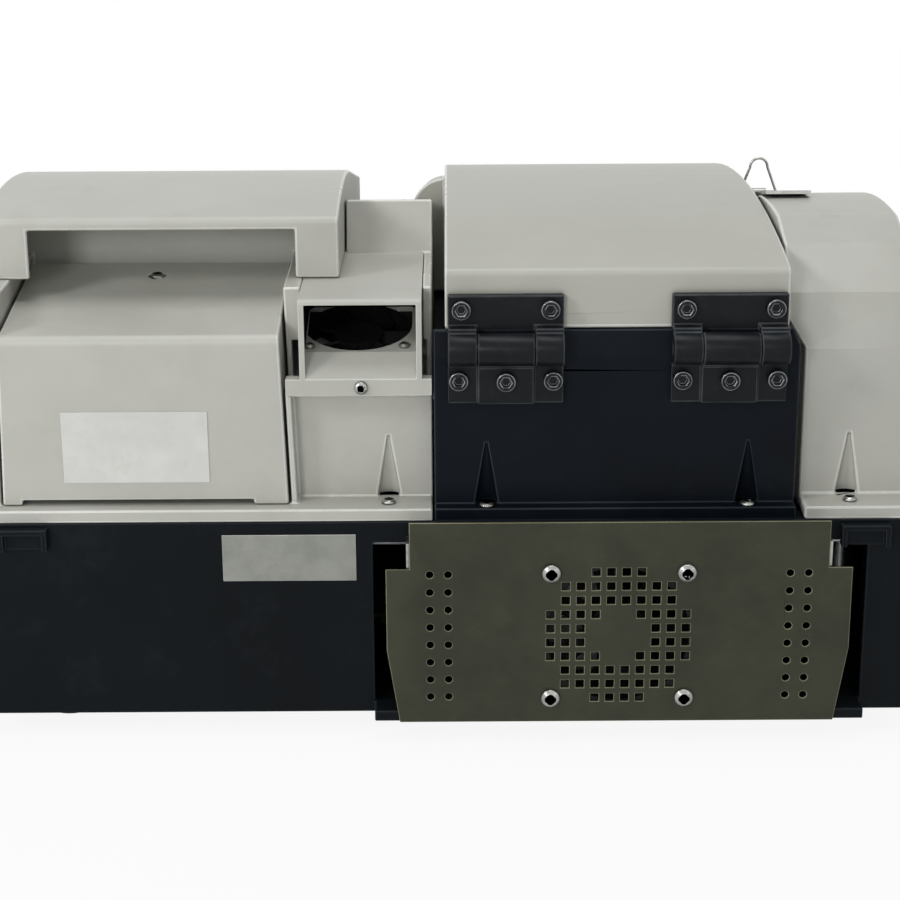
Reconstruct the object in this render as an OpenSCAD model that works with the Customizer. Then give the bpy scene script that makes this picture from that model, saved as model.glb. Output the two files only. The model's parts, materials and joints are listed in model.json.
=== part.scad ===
// Double-beam bench spectrophotometer: base, covers, hinged sample lid, fans and optics.
// X runs across the instrument, Y from the rear (fan plate) to the operator, Z up.
// Lengths in y are counted from the outer face of the fan plate, lengths in z from the underside of the base.

/* [Overall] */
// Width across the base
body_w = 500; // [490:1:520]
// Depth from the rear screw heads to the front of the base
body_d = 600; // [590:1:640]
// Height of the black base
base_h = 110; // [106:1:116]
// Height of the rubber feet
foot_h = 12; // [8:1:20]

/* [Base] */
// Wall of the base tub
base_wall = 4; // [3:0.5:5]
// Floor of the base tub
base_floor = 4; // [3:0.5:6]
// Distance from the fan plate to the rear wall of the base
rear_setback = 14; // [12:1:16]
// Height of the bar along the top of the rear wall
rim_h = 12; // [10:1:14]
// Depth of the bar along the top of the rear wall
rim_d = 16; // [14:1:18]
// Half distance between the feet across the width
foot_x = 210; // [190:1:220]
// Distance of the feet from the ends of the base
foot_end = 40; // [30:1:60]
// Diameter of a foot
foot_d = 36; // [28:1:44]
// Thread diameter of the foot screws
foot_screw_d = 4; // [3:0.5:5]
// Width of a rear catch
catch_w = 26; // [20:1:34]
// Height of a rear catch
catch_h = 12; // [8:1:15]
// Depth of a rear catch
catch_d = 6; // [4:0.5:8]
// Distance of the catches from the sides of the fan plate
catch_x = 8; // [5:0.5:14]

/* [Covers] */
// Wall of the moulded covers
cover_wall = 3; // [2.5:0.25:3.5]
// Height of the lip round the foot of the covers
lip_h = 7; // [5:0.5:9]
// Depth of the ledge behind the covers
lip_ledge = 10; // [9:0.5:12]
// How much deeper than the rear panel the cover walls stand
wall_set = 11; // [9:0.5:13]
// Distance of the cover sides from the side of the base
side_inset = 3; // [2:0.5:5]
// Depth of the front panel that closes the covers
front_depth = 85.5; // [75:0.5:95]
// Slope of all covers towards the operator, in degrees
front_slope = 12; // [11:0.5:13]
// Head diameter of the pan-head screws on the ledge
ledge_head_d = 7.5; // [6.5:0.25:8]
// Thread diameter of the screws on the ledge
ledge_screw_d = 3.5; // [3:0.25:4]

/* [Fan plate] */
// Middle of the fan plate across the width
plate_x = 92; // [85:1:95]
// Width of the fan plate
plate_w = 246; // [240:1:250]
// Height of the fan plate
plate_h = 114; // [112:1:116]
// Sheet thickness of the fan plate
plate_t = 1.5; // [1:0.1:2]
// Width of the notches in its upper corners
notch_w = 12.5; // [9:0.5:14]
// Height of the notches in its upper corners
notch_h = 26; // [20:1:30]
// Inward taper of the lower corners
taper_w = 6.5; // [3:0.5:9]
// Height of the taper of the lower corners
taper_h = 42; // [30:1:50]
// Side of a square grille hole
grille_hole = 4.5; // [3.5:0.25:5.5]
// Pitch of the grille holes
grille_pitch = 8; // [7.5:0.1:8.2]
// Diameter of a side vent hole
vent_d = 4; // [3:0.25:5]
// Distance of the vent fields from the middle of the plate
vent_x = 95; // [85:1:100]
// Head diameter of the fan screws
plate_head_d = 10; // [8:0.5:11]
// Head height of the fan screws
plate_head_h = 3.5; // [2.5:0.25:4.5]

/* [Cooling fan] */
// Side of the cooling fan frame
fan_size = 80; // [78:1:84]
// Spacing of the cooling fan's holes
fan_pitch = 71.5; // [70:0.5:72]
// Depth of the cooling fan
fan_depth = 25; // [22:1:30]
// Height of the cooling fan's axis
fan_z = 50; // [48:1:52]

/* [Exhaust fan] */
// Side of the exhaust fan frame
exhaust_size = 60; // [58:1:60]
// Spacing of the exhaust fan's holes
exhaust_pitch = 50; // [49:0.5:51]
// Depth of the exhaust fan
exhaust_depth = 15; // [13:0.5:16]
// Tilt of the exhaust fan's panel, in degrees
exhaust_tilt = 13.4; // [11:0.2:14]
// Middle of the exhaust hood across the width
hood_x = -43; // [-44:0.5:-42]

/* [Lamp cover] */
// Left side of the lamp cover
lamp_x = -231; // [-232:0.5:-228]
// Width of the lamp cover
lamp_w = 145; // [140:0.5:146]
// Height of the fold between its rear face and its top
lamp_fold_z = 209; // [200:1:214]
// Depth of the lamp cover
lamp_d = 103; // [95:1:106]
// Rise of its top from the fold to the inner end
lamp_rise = 16; // [10:1:17]
// Flare of its sides at the foot
lamp_flare = 3.5; // [2:0.25:4.5]
// Wall of the lamp cover
lamp_wall = 2.5; // [2:0.25:3]
// How far the lamp cover pulls off to the rear
lamp_travel = 180; // [150:5:220]

/* [Upper covers] */
// Height of the deck that carries the upper left cover
deck_z = 229; // [226:0.5:232]
// Rear face of the upper left cover
upper_y = 70; // [60:1:76]
// Height of the upper left cover's crest
upper_crest_z = 268.5; // [264:0.5:274]
// Right end of the upper left cover
upper_x1 = -55.5; // [-58:0.5:-54]
// Depth of the upper left cover
upper_d = 280; // [260:1:300]
// Height of the right cover's crest
right_crest_z = 258; // [250:0.5:262]
// Depth of the rebate that holds the bail plate
rebate_d = 1.5; // [1:0.25:2]
// Width of the rebate that holds the bail plate
rebate_w = 26.5; // [25:0.5:28]

/* [Sample lid] */
// Left side of the sample lid
lid_x = 1; // [0:0.5:2]
// Width of the sample lid
lid_w = 179; // [176:0.5:181]
// Height of the lid's crest
lid_crest_z = 256; // [252:0.5:260]
// Lower edge of the lid's rear flange
lid_rear_z = 212; // [210:0.5:214]
// Lower edge of the lid's side skirts
lid_skirt_z = 180; // [179:0.5:182]
// Gap between the lid and the left housing
lid_gap = 7; // [6:0.5:8]
// Gap between the lid and the right cover
lid_gap_right = 1.5; // [1:0.25:3]
// Width of the step in the right cover's rear corner
right_step = 9; // [8:0.5:12]
// Extra width of the lid's front part
shoulder_w = 20; // [16:0.5:22]
// Width of the finger lip at the lid's front
finger_w = 90; // [70:1:110]

/* [Lid hinges] */
// Width of a hinge
hinge_w = 60; // [56:1:64]
// Distance of the hinges from the sides of the lid
hinge_inset = 1.5; // [0:0.5:4]
// Radius of the hinge barrel
barrel_r = 8.5; // [7.5:0.25:8.75]
// Height of the hinge pin's axis
pin_z = 204; // [202:0.5:204]
// Diameter of the hinge pin
pin_d = 6; // [5:0.25:7]
// Thickness of a hinge leaf
leaf_t = 5; // [4:0.5:5.5]
// Lower edge of the lower hinge leaf
leaf_foot_z = 174; // [172:0.5:176]
// Head diameter of the hinge screws
hinge_head_d = 10; // [8:0.25:10.5]

/* [Wire bail] */
// Wire diameter of the bail
wire_d = 1.6; // [1.2:0.1:2]
// Width of the bail at its foot
bail_w = 23; // [20:0.5:24]
// Height of the bail above its axle
bail_h = 21.5; // [20:0.5:26]
// Radius of the bail's bent top
bail_top_r = 5.5; // [4:0.25:6]

/* [Sample chamber] */
// Left side of the chamber well
well_x = 14; // [12:0.5:18]
// Width of the chamber well
well_w = 152; // [140:1:154]
// Rear side of the chamber well
well_y = 120; // [100:1:130]
// Length of the chamber well
well_l = 300; // [285:1:320]
// Distance of the two beams
beam_gap = 100; // [90:1:104]
// Width of the square well for a cell
cell_w = 12.6; // [12.5:0.1:13]

/* [Optics] */
// Height of the light beam
beam_z = 140; // [134:1:146]
// Underside of the optical bench
bench_z = 84; // [82:1:85]
// Thickness of the optical bench
bench_t = 12; // [10:0.5:12]
// Diameter of a bench pillar
pillar_d = 14; // [12:0.5:16]
// Wall of the monochromator box
mono_wall = 5; // [4:0.5:6]
// Diameter of the grating table
table_d = 46; // [40:1:50]
// Diameter of the filter wheel
wheel_d = 56; // [50:1:60]

/* [Hidden] */
$fn = 48;

// Colours
cover_grey = "#c3c3bc";
base_black = "#181c22";
plate_olive = "#4a4a3a";
hinge_black = "#24272b";
steel = "#c8c8c4";
alloy = "#a9adb0";
dark_plastic = "#1b1c1e";

// Clearances
screw_gap = 0.1;     // radial, screw in its hole
shaft_gap = 0.05;    // radial, turning shaft in its bore
slide_gap = 0.3;     // between faces that pass each other
cut = 1;             // how far a cutter reaches past the face it opens

// Main planes
half_w = body_w / 2;
side_x = half_w - side_inset;
rear_y = plate_head_h - body_d / 2;
base_front = body_d - plate_head_h;
wall_y = rear_setback + lip_ledge;
cover_y = wall_y + wall_set;
lip_z = base_h + lip_h;
cover_front = base_front - front_depth;
left_x1 = lid_x - lid_gap;
right_x0 = lid_x + lid_w + lid_gap_right;
right_foot_x = right_x0 + right_step;
bench_top = bench_z + bench_t;
panel_y = wall_y - 2;
panel_t = 3;

// Fits between the plate and the base
bay_x = [plate_x - plate_w / 2 - 7, plate_x + plate_w / 2 + 10];
tongue_h = 6;
catch_at = plate_x + plate_w / 2 + catch_x;
fan_bore_gap = 2;
tab_w = 9;
tab_h = 14;

// Screws that hold the covers on the rim bar
cover_ledge_y = wall_y;
panel_ledge_y = panel_y - ledge_head_d / 2 - 0.25;
ledge_head_h = 2.4;
ledge_screw_l = 14;
ledge_left = [left_x1 - 23.5];
ledge_panel = [right_foot_x - 168, right_foot_x - 30];
ledge_right = [right_foot_x + 25.5];
pocket_h = 34;
pocket_r = 6.3;
pocket_wall = 2.5;

// Rear panel
panel_x = [left_x1 + 1, right_foot_x - 4.5];
panel_corner = [4, 12];
panel_ridge_z = pin_z - 6;

// Lamp cover and bay
lamp_y = wall_y - 2;
lamp_x1 = lamp_x + lamp_w;
lamp_y1 = lamp_y + lamp_d;
lamp_top_z = lamp_fold_z + lamp_rise;
lamp_slope = atan(lamp_rise / lamp_d);
lamp_fold_r = 5;
bay_gap = 1.5;
bay_left = lamp_x - bay_gap;
bay_right = lamp_x1 + bay_gap;
bay_back = lamp_y1 + 10;
lamp_screw = [lamp_x + lamp_w / 2, lamp_y + lamp_d * 0.83];
lamp_screw_z = lamp_top_z - (lamp_y1 - lamp_screw[1]) * tan(lamp_slope);
lamp_screw_d = 4;
lamp_screw_l = 16;
lamp_recess = lamp_wall / 2;
lamp_floor = lip_z - 3;
slot_h = 3;
bay_back_h = 26;

// Upper left cover
upper_crest = [upper_y + 70, upper_crest_z];
upper_R = 365;
upper_r = 4;
upper_x0 = -side_x;
upper_end = upper_y + upper_d;
hatch_rim = 12;
notch_x = [lamp_x + 9, lamp_x1 + 7];
notch_top = upper_crest_z - 13;
upper_gap = 1;

// Riser of the left housing, between the upper cover and the lid
riser_x0 = upper_x1 + upper_gap;
riser_y = bay_back - 4.5;
riser_top = [riser_y + 10, deck_z + 28.5];
shoulder_y = riser_y + 105.5;
deck_fold = riser_top[0] + 109.5;
shoulder_x = lid_x - shoulder_w;
left_x2 = shoulder_x - 4;

// Right cover
right_crest = [cover_y + 80, right_crest_z];
right_R = 365;
right_r = 60;
right_flats = 3;     // folds instead of a smooth shoulder
step_y = cover_y + 15;
step_z = [pin_z + 9, pin_z - 6];
step_fall = (step_z[0] - step_z[1]) / right_step;
step_out = norm([1, step_fall]);

// Sample lid
lid_y = panel_y + panel_t;
lid_crest = [lid_y + 151, lid_crest_z];
lid_R = 900;
shoulder_drop = 3;
lid_r = 4;
lid_x1 = lid_x + lid_w;
skirt_y = lid_y + 36;
liner_t = 2;
finger_h = 5;
finger_d = 11;

// Chamber
chamber_z = lid_skirt_z - 4;
chamber_wall = 2.5;
deck_t = 3;
beam_y = [well_y + well_l / 2 - beam_gap / 2 - 5, well_y + well_l / 2 + beam_gap / 2 - 5];
beam_hole = 20;

// Hinges
hinge_xs = [lid_x + hinge_inset, lid_x1 - hinge_inset - hinge_w];
pin_y = panel_y - 0.5 - barrel_r;
knuckle_w = hinge_w / 4;
leaf_top_z = lid_rear_z + 19;
hinge_screw_d = 6;
hinge_head_h = 5;
lid_side = hinge_w / 2 - 7;
panel_side = hinge_w / 2 - 5.5;
lid_screw_z = (lid_rear_z + leaf_top_z) / 2 + 2.5;
panel_screw_z = leaf_foot_z + 13;

// Exhaust hood
exhaust_screw_d = 3;
exhaust_head_d = 5.5;
hood_half = max(exhaust_size / 2 - 1, exhaust_pitch / 2 + exhaust_head_d / 2 + 1.25);
hood_in = [hood_x - hood_half, hood_x + hood_half];
hood_wall = 3;
hood_side = 1.5;
hood_lip = 2.5;
hood_round = 2.6;
hood_flange = 1.2;
hood_out = [hood_in[0] - hood_wall, hood_in[1] + hood_wall];
hood_y = panel_y;
shelf_z = 177;
hood_rim_h = 9;
hood_rim_d = 8;
hood_boss = [12, 7];
hood_screw_d = 3;
cheek_y = wall_y + 25;
cheek_z = shelf_z + 23;
hood_roof_z = deck_z - slide_gap;
hood_floor = [hood_y + 12, shelf_z + hood_rim_h + 11.6];
hood_panel_l = exhaust_size + 4;
hood_back = hood_floor[0] + hood_panel_l * cos(exhaust_tilt);
exhaust_x = hood_x - 2.5;
exhaust_along = 1 + exhaust_size / 2;
exhaust_bore = exhaust_size - 2;
fan_screw_d = 4;

// Bail plate and bail
plate_on_y = [right_crest[0] + 23, right_crest[0] + 205];
bail_plate_t = 2;
bail_x = right_x0 + 20.5;
bail_lug_w = 10;
bail_y = right_crest[0] + 187;
bail_lug_d = wire_d + 3;

// Feet and pillars
foot_ys = [rear_setback + foot_end, base_front - foot_end];
boss_d = 12;
boss_h = 8;
pillar_x = half_w - 28;
pillar_ys = [rear_setback + 62, beam_y[1] - 25, cover_front - 31];
bench_ys = [rear_setback + 34, cover_front - 11];
bench_x = half_w - 14;
pillar_screw_d = 4;

// Front controls
rocker_x = half_w - 45;
rocker_z = 62;
rocker_pocket = [40, 34, 8];
rocker_w = 15.4;
rocker_tilt = 8;
rocker_open = [16, 16];
bezel_body = [27.6, 24, 20];
lens_x = rocker_x - 38;
lens_d = 5;

// Side inlet
inlet_y = rear_setback + 111;
inlet_z = 45;
inlet_pocket = [8, 62, 40];
inlet_flange = [1.5, 50, 30];
inlet_body = [22, 30, 22];
inlet_socket = [16, 24, 16];
port_y = inlet_y + 60;
port_body = [18, 14, 13];

// Monochromator and its drives
mono_x = [35 - half_w, left_x2 - 22];
mono_y = [bay_back + 35, cover_front - 41];
mono_h = 74;
grating_at = [mono_x[1] - 45, mono_y[0] + 180];
motor_w = 42;
motor_h = 30;
pilot_d = 22;
pilot_h = 2;
grating_shaft_d = 5;
wheel_at = [mono_x[0] + 65, mono_y[0] + 22];
wheel_t = 3;
wheel_shaft_d = 3;
wheel_hole_r = wheel_d / 2 - 9;
wheel_motor_d = 22;
slit_x = wheel_at[0] + wheel_hole_r;

// Lamp side
source_at = [lamp_x + 105, lamp_y + 78];
source_shaft_d = 3;
source_motor_d = 24;

// Electronics in the base
supply_x = half_w - 210;
supply_y = rear_setback + 40;
board_x = 42 - half_w;
board_y = rear_setback + 110;
board_z = base_floor + 7.6;

// Drawing helpers
module place() translate([0, rear_y, foot_h]) children();

module block(x, y, z) translate([x[0], y[0], z[0]]) cube([x[1] - x[0], y[1] - y[0], z[1] - z[0]]);

module middle_block(at, size) translate(at - size / 2) cube(size);

module along_x(x) translate([x[0], 0, 0]) rotate([90, 0, 90]) linear_extrude(x[1] - x[0]) children();

module along_y(y) translate([0, y[1], 0]) rotate([90, 0, 0]) linear_extrude(y[1] - y[0]) children();

module rod_x(x, y, z, d) translate([x[0], y, z]) rotate([0, 90, 0]) cylinder(d = d, h = x[1] - x[0]);

module rod_y(x, y, z, d) translate([x, y[0], z]) rotate([-90, 0, 0]) cylinder(d = d, h = y[1] - y[0]);

module rod_z(x, y, z, d) translate([x, y, z[0]]) cylinder(d = d, h = z[1] - z[0]);

function arc(c, r, from, to, n) = [for (i = [0:n]) c + r * [cos(from + (to - from) * i / n),
    sin(from + (to - from) * i / n)]];

// Side outline of a crowned cover: rear face, shoulder arc, crest arc, straight slope, front face
function crest_foot(crest, R) = crest - [0, R];
function crown_turn(rear, crest, r, R) = acos((rear + r - crest[0]) / (R - r));
function slope_start(crest, R) = crest_foot(crest, R) + R * [sin(front_slope), cos(front_slope)];
function slope_z(crest, R, y) = slope_start(crest, R)[1] - (y - slope_start(crest, R)[0]) * tan(front_slope);
function crown(rear, crest, r, R, front, foot, inset, fold = undef, flats = 6) = let (
    turn = crown_turn(rear, crest, r, R),
    crest_c = crest_foot(crest, R),
    shoulder_c = crest_c + (R - r) * [cos(turn), sin(turn)],
    drop = inset / cos(front_slope)
) concat(
    [[rear + inset, foot]],
    arc(shoulder_c, r - inset, 180, turn, flats),
    [for (i = [1:12]) crest_c + (R - inset) * [cos(turn + (90 - front_slope - turn) * i / 12),
        sin(turn + (90 - front_slope - turn) * i / 12)]],
    [[front - inset, slope_z(crest, R, front - inset) - drop]],
    fold == undef ? [[front - inset, foot]]
        : [[front - inset, foot - (front - inset - fold) * tan(front_slope)], [fold, foot]]);

// Side outline of the lamp cover: rear face, fold, top that rises towards the inner end
function lean_to(inset, over = 0) = let (
    r = lamp_fold_r - inset,
    c = [lamp_y + lamp_fold_r, lamp_top_z - (lamp_d - lamp_fold_r) * tan(lamp_slope) - lamp_fold_r
        / cos(lamp_slope)]
) concat(
    [[lamp_y + inset, lip_z + slide_gap - over]],
    arc(c, r, 180, 90 + lamp_slope, 6),
    [[lamp_y1 + over, lamp_top_z + over * tan(lamp_slope) - inset / cos(lamp_slope)],
        [lamp_y1 + over, lip_z + slide_gap - over]]);

// Rear outline of the lamp cover and its bay, which flare towards the foot
function lamp_lean(z) = lamp_flare * (deck_z - z) / (deck_z - lamp_floor);
function lamp_sides(grow, z) = [
    [lamp_x - lamp_lean(z[0]) - grow, z[0]], [lamp_x - lamp_lean(z[1]) - grow, z[1]],
    [lamp_x1 + lamp_lean(z[1]) + grow, z[1]], [lamp_x1 + lamp_lean(z[0]) + grow, z[0]]];

// A pan-head screw whose head sits on z = 0 and whose thread points down
module pan_screw(head_d, head_h, d, length) {
    difference() {
        union() {
            cylinder(d = head_d, h = head_h * 0.55);
            translate([0, 0, head_h * 0.55]) cylinder(d1 = head_d, d2 = head_d * 0.62, h = head_h * 0.45);
            translate([0, 0, -length]) cylinder(d = d, h = length + head_h * 0.2);
        }
        for (a = [0, 90]) rotate(a) translate([-head_d * 0.28, -0.5, head_h * 0.55])
            cube([head_d * 0.56, 1, head_h]);
    }
}

// A socket-head screw whose head sits on z = 0 and whose thread points down
module socket_screw(head_d, head_h, d, length) {
    difference() {
        union() {
            cylinder(d = head_d, h = head_h);
            translate([0, 0, -length]) cylinder(d = d, h = length + head_h * 0.2);
        }
        translate([0, 0, head_h * 0.45]) cylinder(d = head_d * 0.55, h = head_h, $fn = 6);
    }
}

// Frame of an axial fan: mounting face on z = 0, struts and bearing at the far face
module fan_frame(size, bore, pitch, depth, hub_d, shaft_d, hole_d) {
    strut_t = 3;
    boss = shaft_d + 6;
    difference() {
        translate([-size / 2, -size / 2, 0]) cube([size, size, depth]);
        translate([0, 0, -cut]) cylinder(d = bore, h = depth + 2 * cut);
        for (x = [-1, 1], y = [-1, 1]) translate([x * pitch / 2, y * pitch / 2, -cut])
            cylinder(d = hole_d, h = depth + 2 * cut);
    }
    difference() {
        union() {
            translate([0, 0, depth - strut_t]) cylinder(d = hub_d, h = strut_t);
            for (a = [0, 90]) rotate(a + 45) translate([-bore / 2 - 1, -2, depth - strut_t])
                cube([bore + 2, 4, strut_t]);
            translate([0, 0, depth * 0.45]) cylinder(d = boss, h = depth * 0.55);
        }
        translate([0, 0, depth * 0.45 - cut])
            cylinder(d = shaft_d + 2 * shaft_gap, h = depth * 0.55 + 2 * cut);
    }
}

// Rotor of an axial fan, on the same planes as its frame
module fan_rotor(bore, depth, hub_d, shaft_d, blades) {
    cap = 2;
    near = depth * 0.14;
    far = depth - 6;
    reach = bore / 2 - 2;
    chord = depth * 0.5;
    difference() {
        translate([0, 0, near]) cylinder(d = hub_d, h = far - near);
        translate([0, 0, near + cap]) cylinder(d = hub_d - 4, h = depth);
    }
    translate([0, 0, near + cap / 2]) cylinder(d = shaft_d, h = depth - near - cap / 2);
    for (i = [0:blades - 1]) rotate(i * 360 / blades)
        translate([(hub_d / 2 - 1 + reach) / 2, 0, (near + far) / 2]) rotate([38, 0, 0])
            cube([reach - hub_d / 2 + 1, chord, 1.4], center = true);
}

module at_foot_points() for (x = [-foot_x, foot_x], y = foot_ys) translate([x, y, 0]) children();

module at_pillars() for (x = [-pillar_x, pillar_x], y = pillar_ys) translate([x, y, 0]) children();

module ledge_holes(xs, y) for (x = xs) rod_z(x, y, [lip_z - ledge_screw_l - cut, lip_z + cut],
    ledge_screw_d + 2 * screw_gap);

// Driver pockets above the ledge screws, cut into the wall at y behind them, and the backs that close them
module driver_pockets(xs, y, grow = 0) for (x = xs) translate([x, y, lip_z])
    cylinder(r1 = pocket_r + grow, r2 = 0.5 + grow, h = pocket_h + grow);

module pocket_backs(xs, y) intersection() {
    driver_pockets(xs, y, pocket_wall);
    block([-half_w, half_w], [y, y + 2 * pocket_r], [lip_z, lip_z + 2 * pocket_h]);
}

// Base
module base_tub() color(base_black) place() difference() {
    union() {
        difference() {
            block([-half_w, half_w], [rear_setback, base_front], [0, base_h]);
            block([base_wall - half_w, half_w - base_wall],
                [rear_setback + base_wall, base_front - base_wall], [base_floor, base_h + cut]);
        }
        block([-half_w, half_w], [rear_setback, rear_setback + rim_d], [base_h - rim_h, base_h]);
        block(bay_x, [plate_t, rear_setback], [0, tongue_h]);
        at_foot_points() cylinder(d = boss_d, h = base_floor + boss_h);
        block([rocker_x - rocker_pocket[0] / 2 - 3, rocker_x + rocker_pocket[0] / 2 + 3],
            [base_front - rocker_pocket[2] - 3, base_front],
            [rocker_z - rocker_pocket[1] / 2 - 3, rocker_z + rocker_pocket[1] / 2 + 3]);
        block([half_w - inlet_pocket[0] - 3, half_w],
            [inlet_y - inlet_pocket[1] / 2 - 3, port_y + inlet_pocket[1] / 4 + 3],
            [inlet_z - inlet_pocket[2] / 2 - 3, inlet_z + inlet_pocket[2] / 2 + 3]);
    }
    block(bay_x, [rear_setback - cut, rear_setback + base_wall + cut / 10], [tongue_h, base_h - rim_h]);
    ledge_holes(concat(ledge_left, ledge_right), cover_ledge_y);
    ledge_holes(ledge_panel, panel_ledge_y);
    at_foot_points() translate([0, 0, -cut])
        cylinder(d = foot_screw_d + 2 * screw_gap, h = base_floor + boss_h);
    block([rocker_x - rocker_pocket[0] / 2, rocker_x + rocker_pocket[0] / 2],
        [base_front - rocker_pocket[2], base_front + cut],
        [rocker_z - rocker_pocket[1] / 2, rocker_z + rocker_pocket[1] / 2]);
    middle_block([rocker_x, base_front - rocker_pocket[2] - 2, rocker_z],
        [bezel_body[0] + 0.4, 10, bezel_body[1] + 0.4]);
    rod_y(lens_x, [base_front - base_wall - cut, base_front + cut], rocker_z, lens_d + 2 * screw_gap);
    block([half_w - inlet_pocket[0], half_w + cut],
        [inlet_y - inlet_pocket[1] / 2, port_y + inlet_pocket[1] / 4],
        [inlet_z - inlet_pocket[2] / 2, inlet_z + inlet_pocket[2] / 2]);
    middle_block([half_w - inlet_pocket[0] - 2, inlet_y, inlet_z],
        [10, inlet_body[1] + 0.4, inlet_body[2] + 0.4]);
    middle_block([half_w - inlet_pocket[0] - 2, port_y, inlet_z],
        [10, port_body[1] + 0.4, port_body[2] + 0.4]);
}

module feet() color("#202020") place() at_foot_points() rotate_extrude() polygon([
    [foot_screw_d / 2 + screw_gap, 0], [foot_d / 2, 0], [foot_d / 2, 3 - foot_h], [foot_d / 2 - 3, -foot_h],
    [foot_screw_d + 1, -foot_h], [foot_screw_d + 1, 5 - foot_h], [foot_screw_d / 2 + screw_gap, 5 - foot_h]]);

module foot_screws() color(steel) place() at_foot_points() translate([0, 0, 5 - foot_h]) rotate([180, 0, 0])
    pan_screw(foot_screw_d * 2, 2.5, foot_screw_d, foot_h + base_floor);

module rear_catches() color(base_black) place() for (side = [-1, 1]) difference() {
    translate([side * catch_at - catch_w / 2, rear_setback - catch_d, base_h - 2 - catch_h])
        cube([catch_w, catch_d, catch_h]);
    translate([side * catch_at - catch_w / 2 + 3, rear_setback - catch_d - cut, base_h - 2 - catch_h - cut])
        cube([catch_w - 6, catch_d - 1, catch_h - 2]);
}

module rating_plate() color("#b9bab6") place()
    block([-118, -47], [rear_setback - 0.8, rear_setback], [77, 103]);

module bench_pillars() color(alloy) place() at_pillars() difference() {
    rod_z(0, 0, [base_floor, bench_z], pillar_d);
    rod_z(0, 0, [bench_z - 14, bench_z + cut], pillar_screw_d + 2 * screw_gap);
}

module optical_bench() color(alloy) place() difference() {
    block([-bench_x, bench_x], bench_ys, [bench_z, bench_top]);
    at_pillars() rod_z(0, 0, [bench_z - cut, bench_top + cut], pillar_screw_d + 2 * screw_gap);
    rod_z(grating_at[0], grating_at[1], [bench_z - cut, bench_top + cut], pilot_d + 2 * screw_gap);
}

module bench_screws() color(steel) place() at_pillars() translate([0, 0, bench_top])
    socket_screw(pillar_screw_d * 1.75, pillar_screw_d, pillar_screw_d, bench_t + 10);

// Rear fan plate and cooling fan
plate_rows = [[3, 6], [1, 8], [1, 8], [0, 9], [0, 9], [0, 9], [0, 9], [1, 8], [1, 8], [3, 6]];
hub_gaps = [0, 0, 0, 2, 4, 4, 2, 0, 0, 0];

module plate_outline() polygon([
    [-plate_w / 2 + taper_w, 0], [plate_w / 2 - taper_w, 0], [plate_w / 2, taper_h],
    [plate_w / 2, plate_h - notch_h], [plate_w / 2 - notch_w, plate_h - notch_h],
    [plate_w / 2 - notch_w, plate_h], [notch_w - plate_w / 2, plate_h],
    [notch_w - plate_w / 2, plate_h - notch_h], [-plate_w / 2, plate_h - notch_h], [-plate_w / 2, taper_h]]);

module fan_plate() color(plate_olive) place() translate([plate_x, plate_t, 0]) rotate([90, 0, 0])
    linear_extrude(plate_t) difference() {
        plate_outline();
        for (row = [0:9], col = [plate_rows[row][0]:plate_rows[row][1]])
            if (abs(col - 4.5) > hub_gaps[row] / 2)
                translate([(col - 4.5) * grille_pitch, fan_z + (row - 4.5) * grille_pitch])
                    square(grille_hole, center = true);
        for (side = [-1, 1], col = [-0.5, 0.5], row = [0:7])
            translate([side * vent_x + col * 9.7, 15 + row * 10]) circle(d = vent_d);
        for (x = [-1, 1], z = [-1, 1]) translate([x * fan_pitch / 2, fan_z + z * fan_pitch / 2])
            circle(d = fan_screw_d + 2 * screw_gap);
    }

module plate_tabs() color("#d9dbd8") place() for (side = [-1, 1])
    translate([plate_x + side * (plate_w / 2 - notch_w + 1.7), plate_t, plate_h - 12 - tab_h]) {
        translate([side > 0 ? -tab_w : 0, 0, 0]) cube([tab_w, 1.2, tab_h]);
        translate([side > 0 ? -1.2 : 0, 0, 0]) cube([1.2, rear_setback - plate_t, tab_h]);
    }

module at_fan_screws() for (x = [-1, 1], z = [-1, 1])
    translate([plate_x + x * fan_pitch / 2, 0, fan_z + z * fan_pitch / 2]) rotate([90, 0, 0]) children();

module fan_plate_screws() color(steel) place() at_fan_screws()
    pan_screw(plate_head_d, plate_head_h, fan_screw_d, plate_t + fan_depth - 4);

module at_cooling_fan() place() translate([plate_x, plate_t, fan_z]) rotate([-90, 0, 0]) children();

module cooling_fan_frame() color(dark_plastic) at_cooling_fan()
    fan_frame(fan_size, fan_size - 2 * fan_bore_gap, fan_pitch, fan_depth, 36, 4,
        fan_screw_d + 2 * screw_gap);

module cooling_fan_rotor() color("#2b2d30") at_cooling_fan()
    fan_rotor(fan_size - 2 * fan_bore_gap, fan_depth, 32, 4, 7);

// Rear panel below the lid
module rear_panel() color(base_black) place() difference() {
    union() {
        along_x(panel_x) polygon([[rear_setback, base_h], [rear_setback, lip_z], [panel_y, lip_z],
            [panel_y, panel_ridge_z], [panel_y + 2, lid_rear_z - slide_gap],
            [panel_y + 2 + panel_t, lid_rear_z - slide_gap], [panel_y + panel_t, panel_ridge_z],
            [panel_y + panel_t, base_h]]);
        pocket_backs(ledge_panel, panel_y);
    }
    along_y([0, wall_y * 2]) polygon([[panel_x[1] - panel_corner[0], lid_rear_z],
        [panel_x[1] + cut, lid_rear_z], [panel_x[1] + cut, lid_rear_z - panel_corner[1]]]);
    ledge_holes(ledge_panel, panel_ledge_y);
    driver_pockets(ledge_panel, panel_y);
    for (x = hinge_xs, side = [-1:1]) rod_y(x + hinge_w / 2 + side * panel_side,
        [panel_y - cut, panel_y + panel_t + cut], panel_screw_z, hinge_screw_d + 2 * screw_gap);
}

module at_ledge_screws() {
    for (x = concat(ledge_left, ledge_right)) translate([x, cover_ledge_y, lip_z]) children();
    for (x = ledge_panel) translate([x, panel_ledge_y, lip_z]) children();
}

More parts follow.
